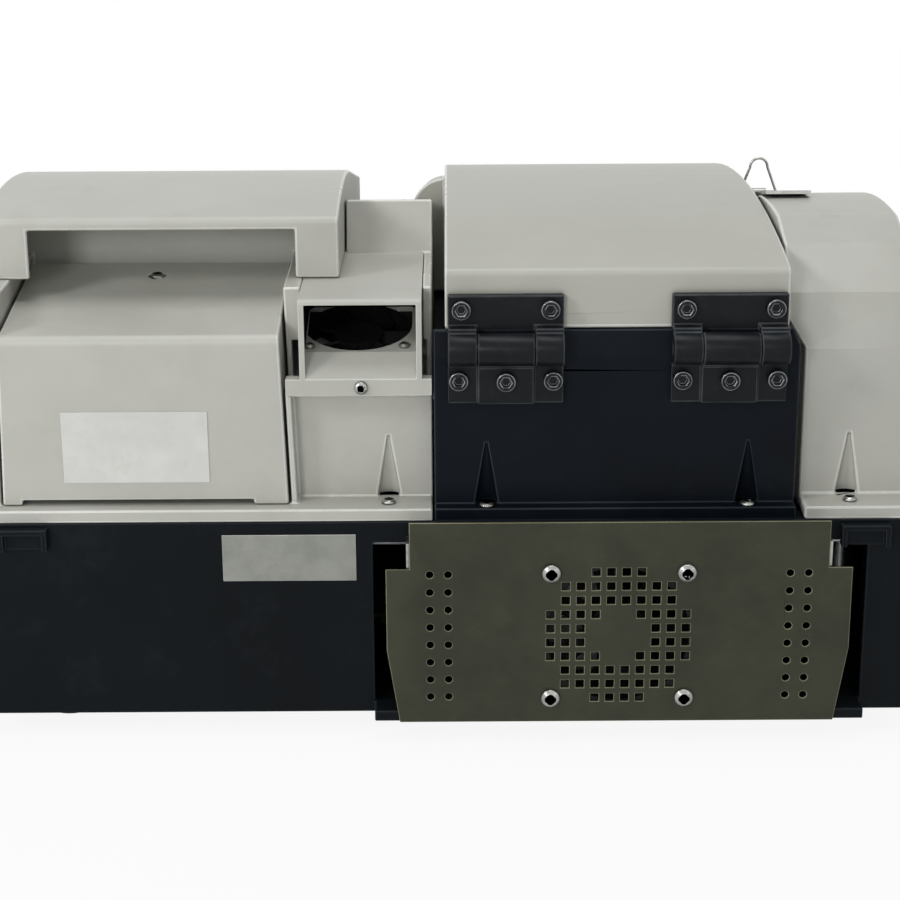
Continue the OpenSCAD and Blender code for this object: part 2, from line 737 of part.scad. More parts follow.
module ledge_screws() color(steel) place() at_ledge_screws()
    pan_screw(ledge_head_d, ledge_head_h, ledge_screw_d, ledge_screw_l);

// Left housing: lip, walls, lamp bay, shelf below the hood, deck and riser
function riser_z(y) = riser_top[1] - (y - riser_top[0]) * tan(front_slope);

function deck_at(y) = deck_z - max(0, y - deck_fold) * tan(front_slope);

module riser(inset) {
    foot = cover_wall + (inset > 0 ? cut : 0);
    back = shoulder_y - inset;
    front = cover_front - inset;
    along_x([riser_x0 + inset, left_x1 - inset]) polygon([
        [riser_y + 1.06 * inset, deck_z - foot], [riser_y + 1.06 * inset, deck_z],
        [riser_top[0] + 0.7 * inset, riser_top[1] - inset], [back, riser_z(back) - inset],
        [back, deck_z - foot]]);
    along_x([riser_x0 + inset, left_x2 - inset]) polygon([
        [back - 1, deck_z - foot], [back - 1, riser_z(back - 1) - inset], [front, riser_z(front) - inset],
        [front, deck_at(front) - foot], [deck_fold, deck_z - foot]]);
}

// The deck slopes with the covers in front of its fold
module deck(from, x) along_x(x) polygon([
    [from, deck_z], [deck_fold, deck_z], [cover_front, deck_at(cover_front)],
    [cover_front, deck_at(cover_front) - cover_wall], [deck_fold, deck_z - cover_wall],
    [from, deck_z - cover_wall]]);

module below_deck() along_x([-half_w, left_x1]) polygon([[rear_setback, base_h], [rear_setback, deck_z],
    [deck_fold, deck_z], [cover_front, deck_at(cover_front)], [cover_front, base_h]]);

// Bay of the lamp cover, grown by its wall for the outside
module lamp_bay(grow, y, z) along_y(y) polygon(lamp_sides(bay_gap + grow, z));

module left_housing() color(cover_grey) place() difference() {
    t = cover_wall;
    hood_wall_y = hood_back + hood_wall + slide_gap;
    bay_foot = bay_right + lamp_flare;
    beside_hood = [[bay_right, hood_out[0] - slide_gap], [hood_out[1] + slide_gap, left_x1]];
    union() {
        intersection() {
            union() {
                block([-half_w, left_x1], [rear_setback, cover_y + t], [base_h, lip_z]);
                block([-half_w, t - side_x], [wall_y, cover_front], [base_h, lip_z]);
                block([-side_x, t - side_x], [wall_y, cover_front], [lip_z, deck_z]);
                block([-side_x, bay_left], [wall_y, wall_y + t], [lip_z, deck_z]);
                block([left_x2 - t, left_x1], [shoulder_y - t, shoulder_y], [base_h, deck_z]);
                block([left_x2 - t, left_x2], [shoulder_y - t, cover_front], [base_h, deck_z]);
                block([-side_x, left_x2], [cover_front - t, cover_front], [base_h, deck_z]);
            }
            below_deck();
        }
        block([-side_x, bay_left], [wall_y, bay_back + t], [deck_z - t, deck_z]);
        lamp_bay(t, [wall_y, bay_back + t], [lamp_floor, deck_z]);
        block([bay_left - t, bay_right + t], [bay_back, bay_back + t], [deck_z - t, deck_z + bay_back_h]);
        block([bay_foot, left_x1], [cover_y, cover_y + t], [lip_z, shelf_z]);
        pocket_backs(ledge_left, cover_y);
        block([bay_foot, left_x1], [hood_y + hood_rim_d, hood_wall_y + t], [shelf_z - t, shelf_z]);
        block([bay_right, left_x1], [hood_wall_y, hood_wall_y + t], [shelf_z - t, deck_z]);
        block([left_x1 - t, left_x1], [cover_y, shoulder_y], [base_h, shelf_z]);
        block([left_x1 - t, left_x1], [cheek_y, shoulder_y], [shelf_z - t, deck_z]);
        for (x = beside_hood) {
            block(x, [cheek_y, cheek_y + t], [cheek_z, deck_z]);
            block(x, [cheek_y, hood_wall_y + t], [deck_z - t, deck_z]);
        }
        middle_block([hood_x, hood_y + hood_rim_d + hood_boss[1] / 2, shelf_z - t + hood_rim_h / 2 + 0.5],
            [hood_boss[0], hood_boss[1], hood_rim_h + 1]);
        block([bay_right, left_x1], [hood_wall_y, shoulder_y], [deck_z - t, deck_z]);
        deck(bay_back, [-side_x, left_x2]);
        riser(0);
    }
    riser(t);
    lamp_bay(0, [wall_y - cut, bay_back], [lip_z, deck_z + cut]);
    block([bay_right - cut, bay_foot + t + cut], [wall_y - cut, cheek_y], [shelf_z, deck_z + cut]);
    block(hood_out + [-slide_gap, slide_gap], [hood_wall_y - cut, riser_y],
        [hood_roof_z - hood_flange - slide_gap, deck_z + cut]);
    driver_pockets(ledge_left, cover_y);
    ledge_holes(ledge_left, cover_ledge_y);
    block([mono_x[0], upper_x1 - 15], [mono_y[0], upper_end - hatch_rim],
        [deck_at(upper_end) - 2 * t, deck_z + cut]);
    block([bay_right - cut, bay_foot + t + cut], [lamp_y + 20, lamp_y1 - 10], [lip_z + 8, shelf_z - 12]);
    rod_z(exhaust_x, (hood_floor[0] + hood_back) / 2 + 4, [shelf_z - t - cut, shelf_z + cut],
        exhaust_bore - 8);
    rod_y(slit_x, [bay_back - cut, bay_back + t + cut], beam_z, beam_hole);
    rod_x([left_x1 - t - cut, left_x1 + cut], beam_y[0], beam_z, beam_hole);
    rod_x([left_x2 - t - cut, left_x2 + cut], beam_y[1], beam_z, beam_hole);
    rod_y(hood_x, [hood_y, hood_y + hood_rim_d + hood_boss[1] - 0.5], shelf_z + hood_rim_h / 2,
        hood_screw_d + 2 * screw_gap);
    rod_z(source_at[0], source_at[1], [lamp_floor - cut, lip_z + cut], source_shaft_d + 1);
    for (i = [0:5]) block([lamp_x + 12 + i * 8, lamp_x + 16 + i * 8], [lamp_y + 22, lamp_y + 82],
        [lamp_floor - cut, lip_z + cut]);
}

// Upper left cover, notched for the lamp cover
module upper_left_cover() color(cover_grey) place() difference() {
    along_x([upper_x0, upper_x1])
        polygon(crown(upper_y, upper_crest, upper_r, upper_R, upper_end, deck_z, 0, deck_fold));
    along_x([upper_x0 + cover_wall, upper_x1 - cover_wall])
        polygon(crown(upper_y, upper_crest, upper_r, upper_R, upper_end, deck_z - cut, cover_wall,
            deck_fold));
    block(notch_x, [upper_y - cut, upper_y + cover_wall + 2], [deck_z - cut, notch_top]);
}

// Lamp cover, which pulls off to the rear
module lamp_shape(inset, over) intersection() {
    along_x([lamp_x - lamp_flare, lamp_x1 + lamp_flare]) polygon(lean_to(inset, over));
    along_y([lamp_y, lamp_y1 + over]) polygon(lamp_sides(-inset, [lip_z - over, deck_z]));
}

module lamp_cover() color(cover_grey) place() difference() {
    lamp_shape(0, 0);
    lamp_shape(lamp_wall, cut);
    block([lamp_x + 7, lamp_x1 - 15], [lamp_y - cut, lamp_y + lamp_wall + cut],
        [lip_z - cut, lip_z + slot_h]);
    rod_z(lamp_screw[0], lamp_screw[1], [lamp_screw_z - 12, lamp_screw_z + 12],
        lamp_screw_d + 2 * screw_gap);
    rod_z(lamp_screw[0], lamp_screw[1], [lamp_screw_z - lamp_recess, lamp_screw_z + 12], 9);
}

module lamp_cover_screw() color(steel) place()
    translate([lamp_screw[0], lamp_screw[1], lamp_screw_z - lamp_recess])
        pan_screw(8, 2.6, lamp_screw_d, lamp_screw_l);

module blank_label() color("#e6e6e0") place()
    block([lamp_x + 30, lamp_x + 107], [lamp_y - 0.5, lamp_y], [lip_z + 13, lip_z + 52]);

// Exhaust hood with its fan
module hood_floor_outline() polygon([
    [hood_y, shelf_z + hood_rim_h], hood_floor,
    hood_floor + hood_panel_l * [cos(exhaust_tilt), sin(exhaust_tilt)],
    hood_floor + hood_panel_l * [cos(exhaust_tilt), sin(exhaust_tilt)] + hood_wall * [sin(exhaust_tilt),
        -cos(exhaust_tilt)],
    hood_floor + hood_wall * [sin(exhaust_tilt), -cos(exhaust_tilt)],
    [hood_y + hood_rim_d, shelf_z + hood_rim_h - 1], [hood_y, shelf_z + hood_rim_h - 1]]);

module at_exhaust_fan(depth) place() translate([exhaust_x, hood_floor[0], hood_floor[1]])
    rotate([exhaust_tilt, 0, 0]) translate([0, exhaust_along, -depth]) rotate([180, 0, 0]) children();

module at_exhaust_screws() for (x = [-1, 1], y = [-1, 1])
    translate([x * exhaust_pitch / 2, y * exhaust_pitch / 2, 0]) children();

module exhaust_hood() color(cover_grey) difference() {
    hood_top = hood_floor[1] + hood_panel_l * sin(exhaust_tilt);
    inside = [hood_in[0] - 0.5 - exhaust_x, hood_in[1] + 0.5 - exhaust_x];
    place() {
        block([bay_right + 2, left_x1], [hood_y, hood_y + hood_rim_d], [shelf_z, shelf_z + hood_rim_h]);
        along_x(hood_out) hood_floor_outline();
        for (x = [hood_out[0], hood_out[1] - hood_side]) along_x([x, x + hood_side]) polygon([
            [hood_y, shelf_z + hood_rim_h], [hood_y, hood_roof_z], [hood_back + hood_wall, hood_roof_z],
            [hood_back + hood_wall, hood_top], hood_floor]);
        for (x = [hood_out[0], hood_in[1]]) block([x, x + hood_wall], [hood_y, hood_y + hood_lip],
            [shelf_z + hood_rim_h - 1, hood_roof_z]);
        block(hood_out, [hood_y, hood_back + hood_wall], [hood_roof_z - hood_wall, hood_roof_z]);
        block(hood_out, [hood_back, hood_back + hood_wall], [hood_top - hood_wall, hood_roof_z]);
        block(hood_out, [hood_back, riser_y - slide_gap], [hood_roof_z - hood_flange, hood_roof_z]);
    }
    place() along_x(hood_out + [-cut, cut]) polygon(concat(
        arc([hood_y + hood_round, hood_roof_z - hood_round], hood_round, 180, 90, 5),
        [[hood_y + hood_round, hood_roof_z + cut], [hood_y - cut, hood_roof_z + cut],
            [hood_y - cut, hood_roof_z - hood_round]]));
    at_exhaust_fan(0) {
        intersection() {
            translate([0, 0, -cut]) linear_extrude(hood_wall + 2 * cut) {
                circle(d = exhaust_bore);
                translate([-exhaust_bore / 2, -20]) square([exhaust_bore, 20]);
            }
            block(inside, [-exhaust_size, exhaust_size], [-hood_wall, 2 * hood_wall]);
        }
        at_exhaust_screws() translate([0, 0, -cut]) cylinder(d = exhaust_screw_d + 2 * screw_gap,
            h = hood_wall + 2 * cut);
    }
    place() rod_y(hood_x, [hood_y - cut, hood_y + hood_rim_d + cut], shelf_z + hood_rim_h / 2,
        hood_screw_d + 2 * screw_gap);
}

module hood_screw() color(steel) place() translate([hood_x, hood_y, shelf_z + hood_rim_h / 2])
    rotate([90, 0, 0]) pan_screw(7, 2.4, hood_screw_d, hood_rim_d + hood_boss[1] - 1);

module exhaust_fan_frame() color(dark_plastic) at_exhaust_fan(hood_wall)
    fan_frame(exhaust_size, exhaust_bore, exhaust_pitch, exhaust_depth, 30, 3,
        exhaust_screw_d + 2 * screw_gap);

module exhaust_fan_rotor() color("#2b2d30") at_exhaust_fan(hood_wall)
    fan_rotor(exhaust_bore, exhaust_depth, 26, 3, 7);

module exhaust_fan_screws() color(steel) at_exhaust_fan(0) at_exhaust_screws() rotate([180, 0, 0])
    pan_screw(exhaust_head_d, 2, exhaust_screw_d, hood_wall + exhaust_depth - 3);

// Right cover with the rebate for the bail plate
module on_right_slope() translate([0, slope_start(right_crest, right_R)[0],
    slope_start(right_crest, right_R)[1]]) rotate([-front_slope, 0, 0]) children();

function right_along(y) = (y - slope_start(right_crest, right_R)[0]) / cos(front_slope);
rebate_y = [right_along(plate_on_y[0]) - 60, right_along(plate_on_y[1]) + 2];

function right_outline(foot, inset) = crown(cover_y, right_crest, right_r, right_R, cover_front, foot,
    inset, undef, right_flats);

// Step in the rear corner, clear of the rear panel, under a slanted roof
module rear_step(grow) along_y([0, step_y + grow]) polygon([
    [right_x0 - cut, 0], [right_x0 - cut, step_z[0] + step_fall * cut + step_out * grow],
    [right_foot_x + grow, step_z[1] + (step_out - step_fall) * grow], [right_foot_x + grow, 0]]);

module right_cover() color(cover_grey) place() difference() {
    t = cover_wall;
    union() {
        difference() {
            along_x([right_x0, side_x])
                polygon(right_outline(base_h, 0));
            difference() {
                along_x([right_x0 + t, side_x - t])
                    polygon(right_outline(base_h - cut, t));
                rear_step(t);
            }
        }
        intersection() {
            along_x([right_x0, side_x])
                polygon(right_outline(base_h, 0));
            on_right_slope()
                block([right_x0, right_x0 + rebate_w + t], rebate_y + [0, t], [-rebate_d - t, 0]);
        }
        block([right_foot_x, half_w], [rear_setback, cover_y + t], [base_h, lip_z]);
        block([side_x - t, half_w], [wall_y, cover_front], [base_h, lip_z]);
        pocket_backs(ledge_right, cover_y);
    }
    rear_step(0);
    on_right_slope() block([right_x0 - cut, right_x0 + rebate_w], rebate_y, [-rebate_d, 20]);
    driver_pockets(ledge_right, cover_y);
    ledge_holes(ledge_right, cover_ledge_y);
    for (y = beam_y) rod_x([right_x0 - cut, right_x0 + t + cut], y, beam_z, beam_hole + 4);
}

module bail_plate() color("#d5d6d2") place() on_right_slope() {
    y = [right_along(plate_on_y[0]), right_along(plate_on_y[1])];
    top = bail_plate_t - rebate_d;
    lug_y = right_along(bail_y);
    lug_x = [bail_x - bail_lug_w / 2, bail_x + bail_lug_w / 2];
    block([right_x0 + 0.5, right_x0 + rebate_w - 0.5], y, [-rebate_d, top]);
    difference() {
        union() {
            block(lug_x, [lug_y - bail_lug_d / 2, lug_y + bail_lug_d / 2], [top, top + bail_lug_d / 2]);
            rod_x(lug_x, lug_y, top + bail_lug_d / 2, bail_lug_d);
        }
        rod_x(lug_x + [-cut, cut], lug_y, top + bail_lug_d / 2, wire_d + 2 * shaft_gap);
    }
}

// The bail is a closed wire loop: axle, two legs that draw in, bent top
module wire_bail() color(steel) place() on_right_slope()
    translate([bail_x, right_along(bail_y), bail_plate_t - rebate_d + bail_lug_d / 2]) {
        foot = bail_w / 2;
        top_z = bail_h - bail_top_r;
        lean = atan((foot - bail_top_r) / top_z);
        leg = sqrt(pow(foot - bail_top_r, 2) + pow(top_z, 2));
        rotate([front_slope, 0, 0]) {
            rod_x([-foot, foot], 0, 0, wire_d);
            for (side = [-1, 1]) translate([side * foot, 0, 0]) {
                sphere(d = wire_d);
                rotate([0, -side * lean, 0]) cylinder(d = wire_d, h = leg);
            }
            translate([0, 0, top_z]) rotate([90, 0, 0])
                rotate_extrude(angle = 180) translate([bail_top_r, 0]) circle(d = wire_d);
            for (side = [-1, 1]) translate([side * bail_top_r, 0, top_z]) sphere(d = wire_d);
        }
    }

// Sample lid: narrow rear part, wider front part with a rounded left shoulder
module lid_outline(inset, foot)
    polygon(crown(lid_y, lid_crest, lid_r, lid_R, cover_front, foot, inset));

function lid_arc(y) = lid_crest_z - lid_R + sqrt(pow(lid_R, 2) - pow(y - lid_crest[0], 2));

module lid_solid(inset, foot) {
    back = shoulder_y + 4;
    fall = atan((lid_arc(back) - slope_z(lid_crest, lid_R, cover_front)) / (cover_front - back));
    along_x([lid_x + inset, lid_x1 - inset]) lid_outline(inset, foot);
    difference() {
        intersection() {
            along_x([shoulder_x + inset, lid_x + inset + 1]) lid_outline(inset, foot);
            block([shoulder_x, lid_x + inset + 1], [back + inset, cover_front], [0, lid_crest_z]);
        }
        translate([lid_x, back, lid_arc(back) - shoulder_drop]) rotate([-fall, 0, 0])
            translate([0, 0, -shoulder_w]) difference() {
                block([-2 * shoulder_w, 2 * shoulder_w], [-back, cover_front], [0, 3 * shoulder_w]);
                rod_y(0, [-back - cut, cover_front + cut], 0, 2 * (shoulder_w - inset));
            }
    }
}

module sample_lid() color(cover_grey) place() difference() {
    union() {
        difference() {
            lid_solid(0, lid_skirt_z);
            lid_solid(cover_wall, lid_skirt_z - cut);
        }
        block([lid_x + lid_w / 2 - finger_w / 2, lid_x + lid_w / 2 + finger_w / 2],
            [cover_front - cover_wall, cover_front + finger_d], [lid_skirt_z, lid_skirt_z + finger_h]);
    }
    block([lid_x - cut, lid_x1 + cut], [0, skirt_y], [0, lid_rear_z]);
    for (x = hinge_xs, side = [-1, 1]) rod_y(x + hinge_w / 2 + side * lid_side,
        [lid_y - cut, lid_y + cover_wall + cut], lid_screw_z, hinge_screw_d + 2 * screw_gap);
}

// Sheet that closes the lid from below
module lid_liner() color("#2a2c2e") place() {
    z = lid_skirt_z + 2;
    t = cover_wall;
    block([lid_x + t, lid_x1 - t], [skirt_y, cover_front - t], [z, z + liner_t]);
    block([shoulder_x + t, lid_x + t], [shoulder_y + 4 + t, cover_front - t], [z, z + liner_t]);
    block([lid_x + t, lid_x1 - t], [skirt_y, skirt_y + liner_t], [z, lid_rear_z + liner_t]);
    block([lid_x + t, lid_x1 - t], [lid_y + t, skirt_y + liner_t], [lid_rear_z, lid_rear_z + liner_t]);
}

// Hinges: the upper leaf has two knuckles, the lower leaf one between them
module hinge_bore(x) rod_x([x[0] - cut, x[1] + cut], pin_y, pin_z, pin_d + 2 * shaft_gap);

module hinge_upper_leaves() color(hinge_black) place() for (x = hinge_xs) difference() {
    union() {
        block([x, x + hinge_w], [lid_y - leaf_t, lid_y], [lid_rear_z, leaf_top_z]);
        for (end = [x, x + hinge_w - knuckle_w]) {
            rod_x([end, end + knuckle_w], pin_y, pin_z, 2 * barrel_r);
            block([end, end + knuckle_w], [pin_y, pin_y + barrel_r], [pin_z, lid_rear_z + 3]);
        }
    }
    hinge_bore([x, x + hinge_w]);
    for (side = [-1, 1]) rod_y(x + hinge_w / 2 + side * lid_side, [lid_y - leaf_t - cut, lid_y + cut],
        lid_screw_z, hinge_screw_d + 2 * screw_gap);
}

module hinge_lower_leaves() color(hinge_black) place() for (x = hinge_xs) difference() {
    knuckle = [x + knuckle_w + slide_gap, x + hinge_w - knuckle_w - slide_gap];
    union() {
        block([x, x + hinge_w], [panel_y - leaf_t, panel_y], [leaf_foot_z, pin_z - barrel_r - 1]);
        block(knuckle, [panel_y - leaf_t - 2, panel_y], [leaf_foot_z, pin_z - barrel_r]);
        rod_x(knuckle, pin_y, pin_z, 2 * barrel_r);
        block(knuckle, [pin_y, pin_y + barrel_r], [pin_z - barrel_r - 2, pin_z]);
    }
    hinge_bore([x, x + hinge_w]);
    for (side = [-1:1]) rod_y(x + hinge_w / 2 + side * panel_side,
        [panel_y - leaf_t - 2 - cut, panel_y + cut], panel_screw_z, hinge_screw_d + 2 * screw_gap);
}

module hinge_pins() color(steel) place() for (x = hinge_xs) rod_x([x, x + hinge_w], pin_y, pin_z, pin_d);

module lid_hinge_screws() color(hinge_black) place() for (x = hinge_xs, side = [-1, 1])
    translate([x + hinge_w / 2 + side * lid_side, lid_y - leaf_t, lid_screw_z]) rotate([90, 0, 0])
        socket_screw(hinge_head_d, hinge_head_h, hinge_screw_d, leaf_t + cover_wall + 3);

module panel_hinge_screws() color(hinge_black) place() for (x = hinge_xs, side = [-1:1])
    translate([x + hinge_w / 2 + side * panel_side, panel_y - leaf_t - (side == 0 ? 2 : 0), panel_screw_z])
        rotate([90, 0, 0]) socket_screw(hinge_head_d, hinge_head_h, hinge_screw_d, leaf_t + panel_t + 3);

// Sample chamber
well_xs = [well_x, well_x + well_w];
well_ys = [well_y, well_y + well_l];

// Chamber: a deck with the well below it, whose floor and four walls are plates of their own
module chamber_tub() color("#1d1f21") place() {
    w = chamber_wall;
    seam = w + slide_gap;
    walls_z = [bench_top, chamber_z - deck_t - slide_gap];
    difference() {
        union() {
            block([left_x1 + 0.5, right_x0 - 0.5], [panel_y + 2 + panel_t + 1, cover_front],
                [chamber_z - deck_t, chamber_z]);
            block([left_x2 + 0.5, left_x1 + 1], [shoulder_y + 0.5, cover_front],
                [chamber_z - deck_t, chamber_z]);
        }
        block(well_xs + [w, -w], well_ys + [w, -w], [chamber_z - deck_t - cut, chamber_z + cut]);
    }
    for (x = [well_xs[0], well_xs[1] - w]) difference() {
        block([x, x + w], well_ys, walls_z);
        for (y = beam_y) rod_x([x - cut, x + w + cut], y, beam_z, beam_hole - 4);
    }
    for (y = [well_ys[0], well_ys[1] - w]) block(well_xs + [seam, -seam], [y, y + w], walls_z);
    block(well_xs + [seam, -seam], well_ys + [seam, -seam], [bench_top, bench_top + deck_t]);
}

module chamber_gasket() color("#101112") place() difference() {
    gasket_w = 6;
    z = [chamber_z, lid_skirt_z + 2 - slide_gap];
    block(well_xs + [-gasket_w, gasket_w], well_ys + [-gasket_w, gasket_w], z);
    block(well_xs, well_ys, z + [-cut, cut]);
}

module chamber_windows() color("#cfe3ea") place() for (y = beam_y) {
    rod_x([well_xs[0] - 2, well_xs[0]], y, beam_z, beam_hole);
    rod_x([well_xs[1], well_xs[1] + 2], y, beam_z, beam_hole);
}

module cell_holders() color("#26292c") place() for (y = beam_y) difference() {
    holder = 30;
    x = well_x + well_w / 2;
    foot = bench_top + deck_t;
    block([x - holder / 2, x + holder / 2], [y - holder / 2, y + holder / 2], [foot, beam_z + 16]);
    block([x - cell_w / 2, x + cell_w / 2], [y - cell_w / 2, y + cell_w / 2],
        [beam_z - 30, beam_z + 16 + cut]);
    rod_x([x - holder, x + holder], y, beam_z, 8);
}

// Front panel, with a finger scoop below the lid's lip
front_y = cover_front + 2;
front_top = slope_z(right_crest, right_R, cover_front) - 4;

module front_outline(inset) polygon([
    [front_y + inset, base_h - inset / 3], [front_y + inset, front_top - inset],
    [front_y + 26 - inset / 3, front_top - 3 - inset], [base_front - 12 - inset, lip_z + 12 - inset / 3],
    [base_front - 10 - inset, base_h - inset / 3]]);

module front_panel() color(cover_grey) place() difference() {
    scoop = [lid_x + lid_w / 2 - finger_w / 2 - 8, lid_x + lid_w / 2 + finger_w / 2 + 8];
    t = cover_wall;
    union() {
        difference() {
            along_x([-side_x, side_x]) front_outline(0);
            along_x([t - side_x, side_x - t]) front_outline(t);
        }
        block([-half_w, half_w], [base_front - 14, base_front], [base_h, lip_z]);
        for (side = [-1, 1]) block(side > 0 ? [side_x - t, half_w] : [-half_w, t - side_x],
            [front_y, base_front], [base_h, lip_z]);
        block(scoop + [-t, t], [front_y, front_y + 24 + t], [front_top - 22 - t, front_top - 5]);
    }
    block(scoop, [front_y + t, front_y + 24], [front_top - 22, front_top + cut]);
}

// Front switch and lamp
module at_rocker() place() translate([rocker_x, base_front - rocker_pocket[2], rocker_z]) children();

module rocker_bezel() color(dark_plastic) at_rocker() difference() {
    union() {
        middle_block([0, 0.75, 0], [bezel_body[0] + 6, 1.5, bezel_body[1] + 6]);
        block([-bezel_body[0] / 2, bezel_body[0] / 2], [-bezel_body[2], 0],
            [-bezel_body[1] / 2, bezel_body[1] / 2]);
    }
    block([-rocker_open[0] / 2, rocker_open[0] / 2], [-12, 4],
        [-rocker_open[1] / 2 - 2, rocker_open[1] / 2 + 2]);
    rod_x([-rocker_open[0] / 2 - 2, rocker_open[0] / 2 + 2], -3, 0, 3 + 2 * shaft_gap);
}

module power_rocker() color("#2c3036") at_rocker() translate([0, -3, 0]) rotate([-rocker_tilt, 0, 0]) {
    along_x([-rocker_w / 2, rocker_w / 2]) polygon([[-5, -7], [6, -8.6], [4, 0], [6, 8.6], [-5, 7]]);
    rod_x([-rocker_w / 2 - 1.7, rocker_w / 2 + 1.7], 0, 0, 3);
}

module status_lens() color("#8fd18a") place() translate([lens_x, base_front, rocker_z]) rotate([90, 0, 0])
    cylinder(d = lens_d, h = base_wall + 6);

// Inlet and data port in the right side wall
module at_inlet(y) place() translate([half_w - inlet_pocket[0], y, inlet_z]) children();

module mains_inlet() color(dark_plastic) at_inlet(inlet_y) {
    difference() {
        union() {
            middle_block([inlet_flange[0] / 2, 0, 0], inlet_flange);
            block([-inlet_body[0], 0], [-inlet_body[1] / 2, inlet_body[1] / 2],
                [-inlet_body[2] / 2, inlet_body[2] / 2]);
        }
        block([-inlet_socket[0], 3], [-inlet_socket[1] / 2, inlet_socket[1] / 2],
            [-inlet_socket[2] / 2, inlet_socket[2] / 2]);
    }
    for (pin = [[-7, -2], [0, 2], [7, -2]]) block([-inlet_socket[0] - 1, -4], [pin[0] - 1, pin[0] + 1],
        [pin[1] - 2, pin[1] + 2]);
}

module data_port() color(steel) at_inlet(port_y) {
    difference() {
        block([-port_body[0], 1], [-port_body[1] / 2, port_body[1] / 2],
            [-port_body[2] / 2, port_body[2] / 2]);
        block([-10, 3], [-4.5, 4.5], [-4.2, 4.2]);
    }
    block([-11, -1], [-2.8, 2.8], [-1.6, 1.6]);
    middle_block([0.5, 0, 0], [1, port_body[1] + 5, port_body[2] + 3]);
}

// Light sources
module lamp_bracket() color(alloy) place() difference() {
    union() {
        block([lamp_x + 60, lamp_x + 92], [lamp_y + 30, lamp_y + 98], [lip_z, lip_z + 3]);
        block([lamp_x + 14, lamp_x + 92], [lamp_y + 84, lamp_y + 98], [lip_z, lip_z + 3]);
        block([lamp_screw[0] - 6, lamp_screw[0] + 6], [lamp_y + 92, lamp_y + 96], [lip_z, lamp_screw_z - 6]);
        block([lamp_screw[0] - 6, lamp_screw[0] + 6], [lamp_screw[1] - 8, lamp_y + 96],
            [lamp_screw_z - 9, lamp_screw_z - 6]);
    }
    block([lamp_screw[0] - lamp_screw_d / 2 - slide_gap, lamp_screw[0] + lamp_screw_d / 2 + slide_gap],
        [lamp_y, lamp_screw[1] + lamp_screw_d / 2 + slide_gap], [lamp_screw_z - 20, lamp_screw_z]);
}

module deuterium_lamp() color("#d7e6ee") place() {
    rod_z(lamp_x + 36, lamp_y + 90, [lip_z + 3, lip_z + 15], 12);
    rod_z(lamp_x + 36, lamp_y + 90, [lip_z + 14, lip_z + 68], 14);
    translate([lamp_x + 36, lamp_y + 90, lip_z + 68]) cylinder(d1 = 14, d2 = 5, h = 7);
}

module halogen_lamp() color("#e6ecef") place() {
    rod_z(lamp_x + 75, lamp_y + 50, [lip_z + 3, lip_z + 18], 14);
    rod_z(lamp_x + 75, lamp_y + 50, [lip_z + 17, lip_z + 40], 11);
    translate([lamp_x + 75, lamp_y + 50, lip_z + 40]) cylinder(d1 = 11, d2 = 4, h = 6);
}

module source_motor() color("#8d9094") place() difference() {
    rod_z(source_at[0], source_at[1], [bench_top, lamp_floor], source_motor_d);
    rod_z(source_at[0], source_at[1], [bench_top + 4, lamp_floor + cut], source_shaft_d + 2 * shaft_gap);
}

module source_mirror() color("#dfe6ea") place() {
    rod_z(source_at[0], source_at[1], [bench_top + 5, lip_z + 14], source_shaft_d);
    rod_z(source_at[0], source_at[1], [lip_z + 2, lip_z + 6], 14);
    translate([source_at[0], source_at[1], lip_z + 6]) rotate(45)
        block([-9, 9], [-3, 3], [0, 26]);
}

// Monochromator
mono_top = bench_top + mono_h;
mono_floor = bench_top + mono_wall;

module mono_box() color("#5f6468") place() difference() {
    block(mono_x, mono_y, [bench_top, mono_top]);
    block(mono_x + [mono_wall, -mono_wall], mono_y + [mono_wall, -mono_wall], [mono_floor, mono_top + cut]);
    rod_z(grating_at[0], grating_at[1], [bench_top - cut, mono_floor + cut], 14);
    rod_y(slit_x, [mono_y[0] - cut, mono_y[0] + mono_wall + cut], beam_z, 10);
    rod_x([mono_x[1] - mono_wall - cut, mono_x[1] + cut], beam_y[1], beam_z, 10);
}

module mono_optics() color("#c9d2d6") place() {
    difference() {
        block([slit_x - 8, slit_x + 8], [mono_y[0] + mono_wall, mono_y[0] + mono_wall + 2],
            [mono_floor, beam_z + 12]);
        block([slit_x - 0.5, slit_x + 0.5], [mono_y[0], mono_y[0] + 20], [beam_z - 4, beam_z + 4]);
    }
    difference() {
        block([mono_x[1] - mono_wall - 2, mono_x[1] - mono_wall], [beam_y[1] - 8, beam_y[1] + 8],
            [mono_floor, beam_z + 12]);
        block([mono_x[1] - 20, mono_x[1]], [beam_y[1] - 0.5, beam_y[1] + 0.5], [beam_z - 4, beam_z + 4]);
    }
    for (x = [mono_x[0] + 30, mono_x[0] + 90]) difference() {
        block([x, x + 36], [mono_y[1] - mono_wall - 14, mono_y[1] - mono_wall], [mono_floor, beam_z + 22]);
        translate([x + 18, mono_y[1] - mono_wall - 14 - 76, beam_z]) sphere(r = 80);
    }
}

module grating_motor() color("#33363a") place() difference() {
    union() {
        middle_block([grating_at[0], grating_at[1], bench_z - motor_h / 2], [motor_w, motor_w, motor_h]);
        rod_z(grating_at[0], grating_at[1], [bench_z, bench_z + pilot_h], pilot_d);
    }
    rod_z(grating_at[0], grating_at[1], [bench_z - motor_h + 6, bench_top], grating_shaft_d + 2 * shaft_gap);
}

module grating_table() color("#b7a86a") place() translate([grating_at[0], grating_at[1], 0]) {
    rod_z(0, 0, [bench_z - motor_h + 7, mono_floor + 4], grating_shaft_d);
    rod_z(0, 0, [mono_floor + 2, mono_floor + 7], table_d);
    rotate(-25) block([-16, 16], [-4, 4], [mono_floor + 6, beam_z + 16]);
}

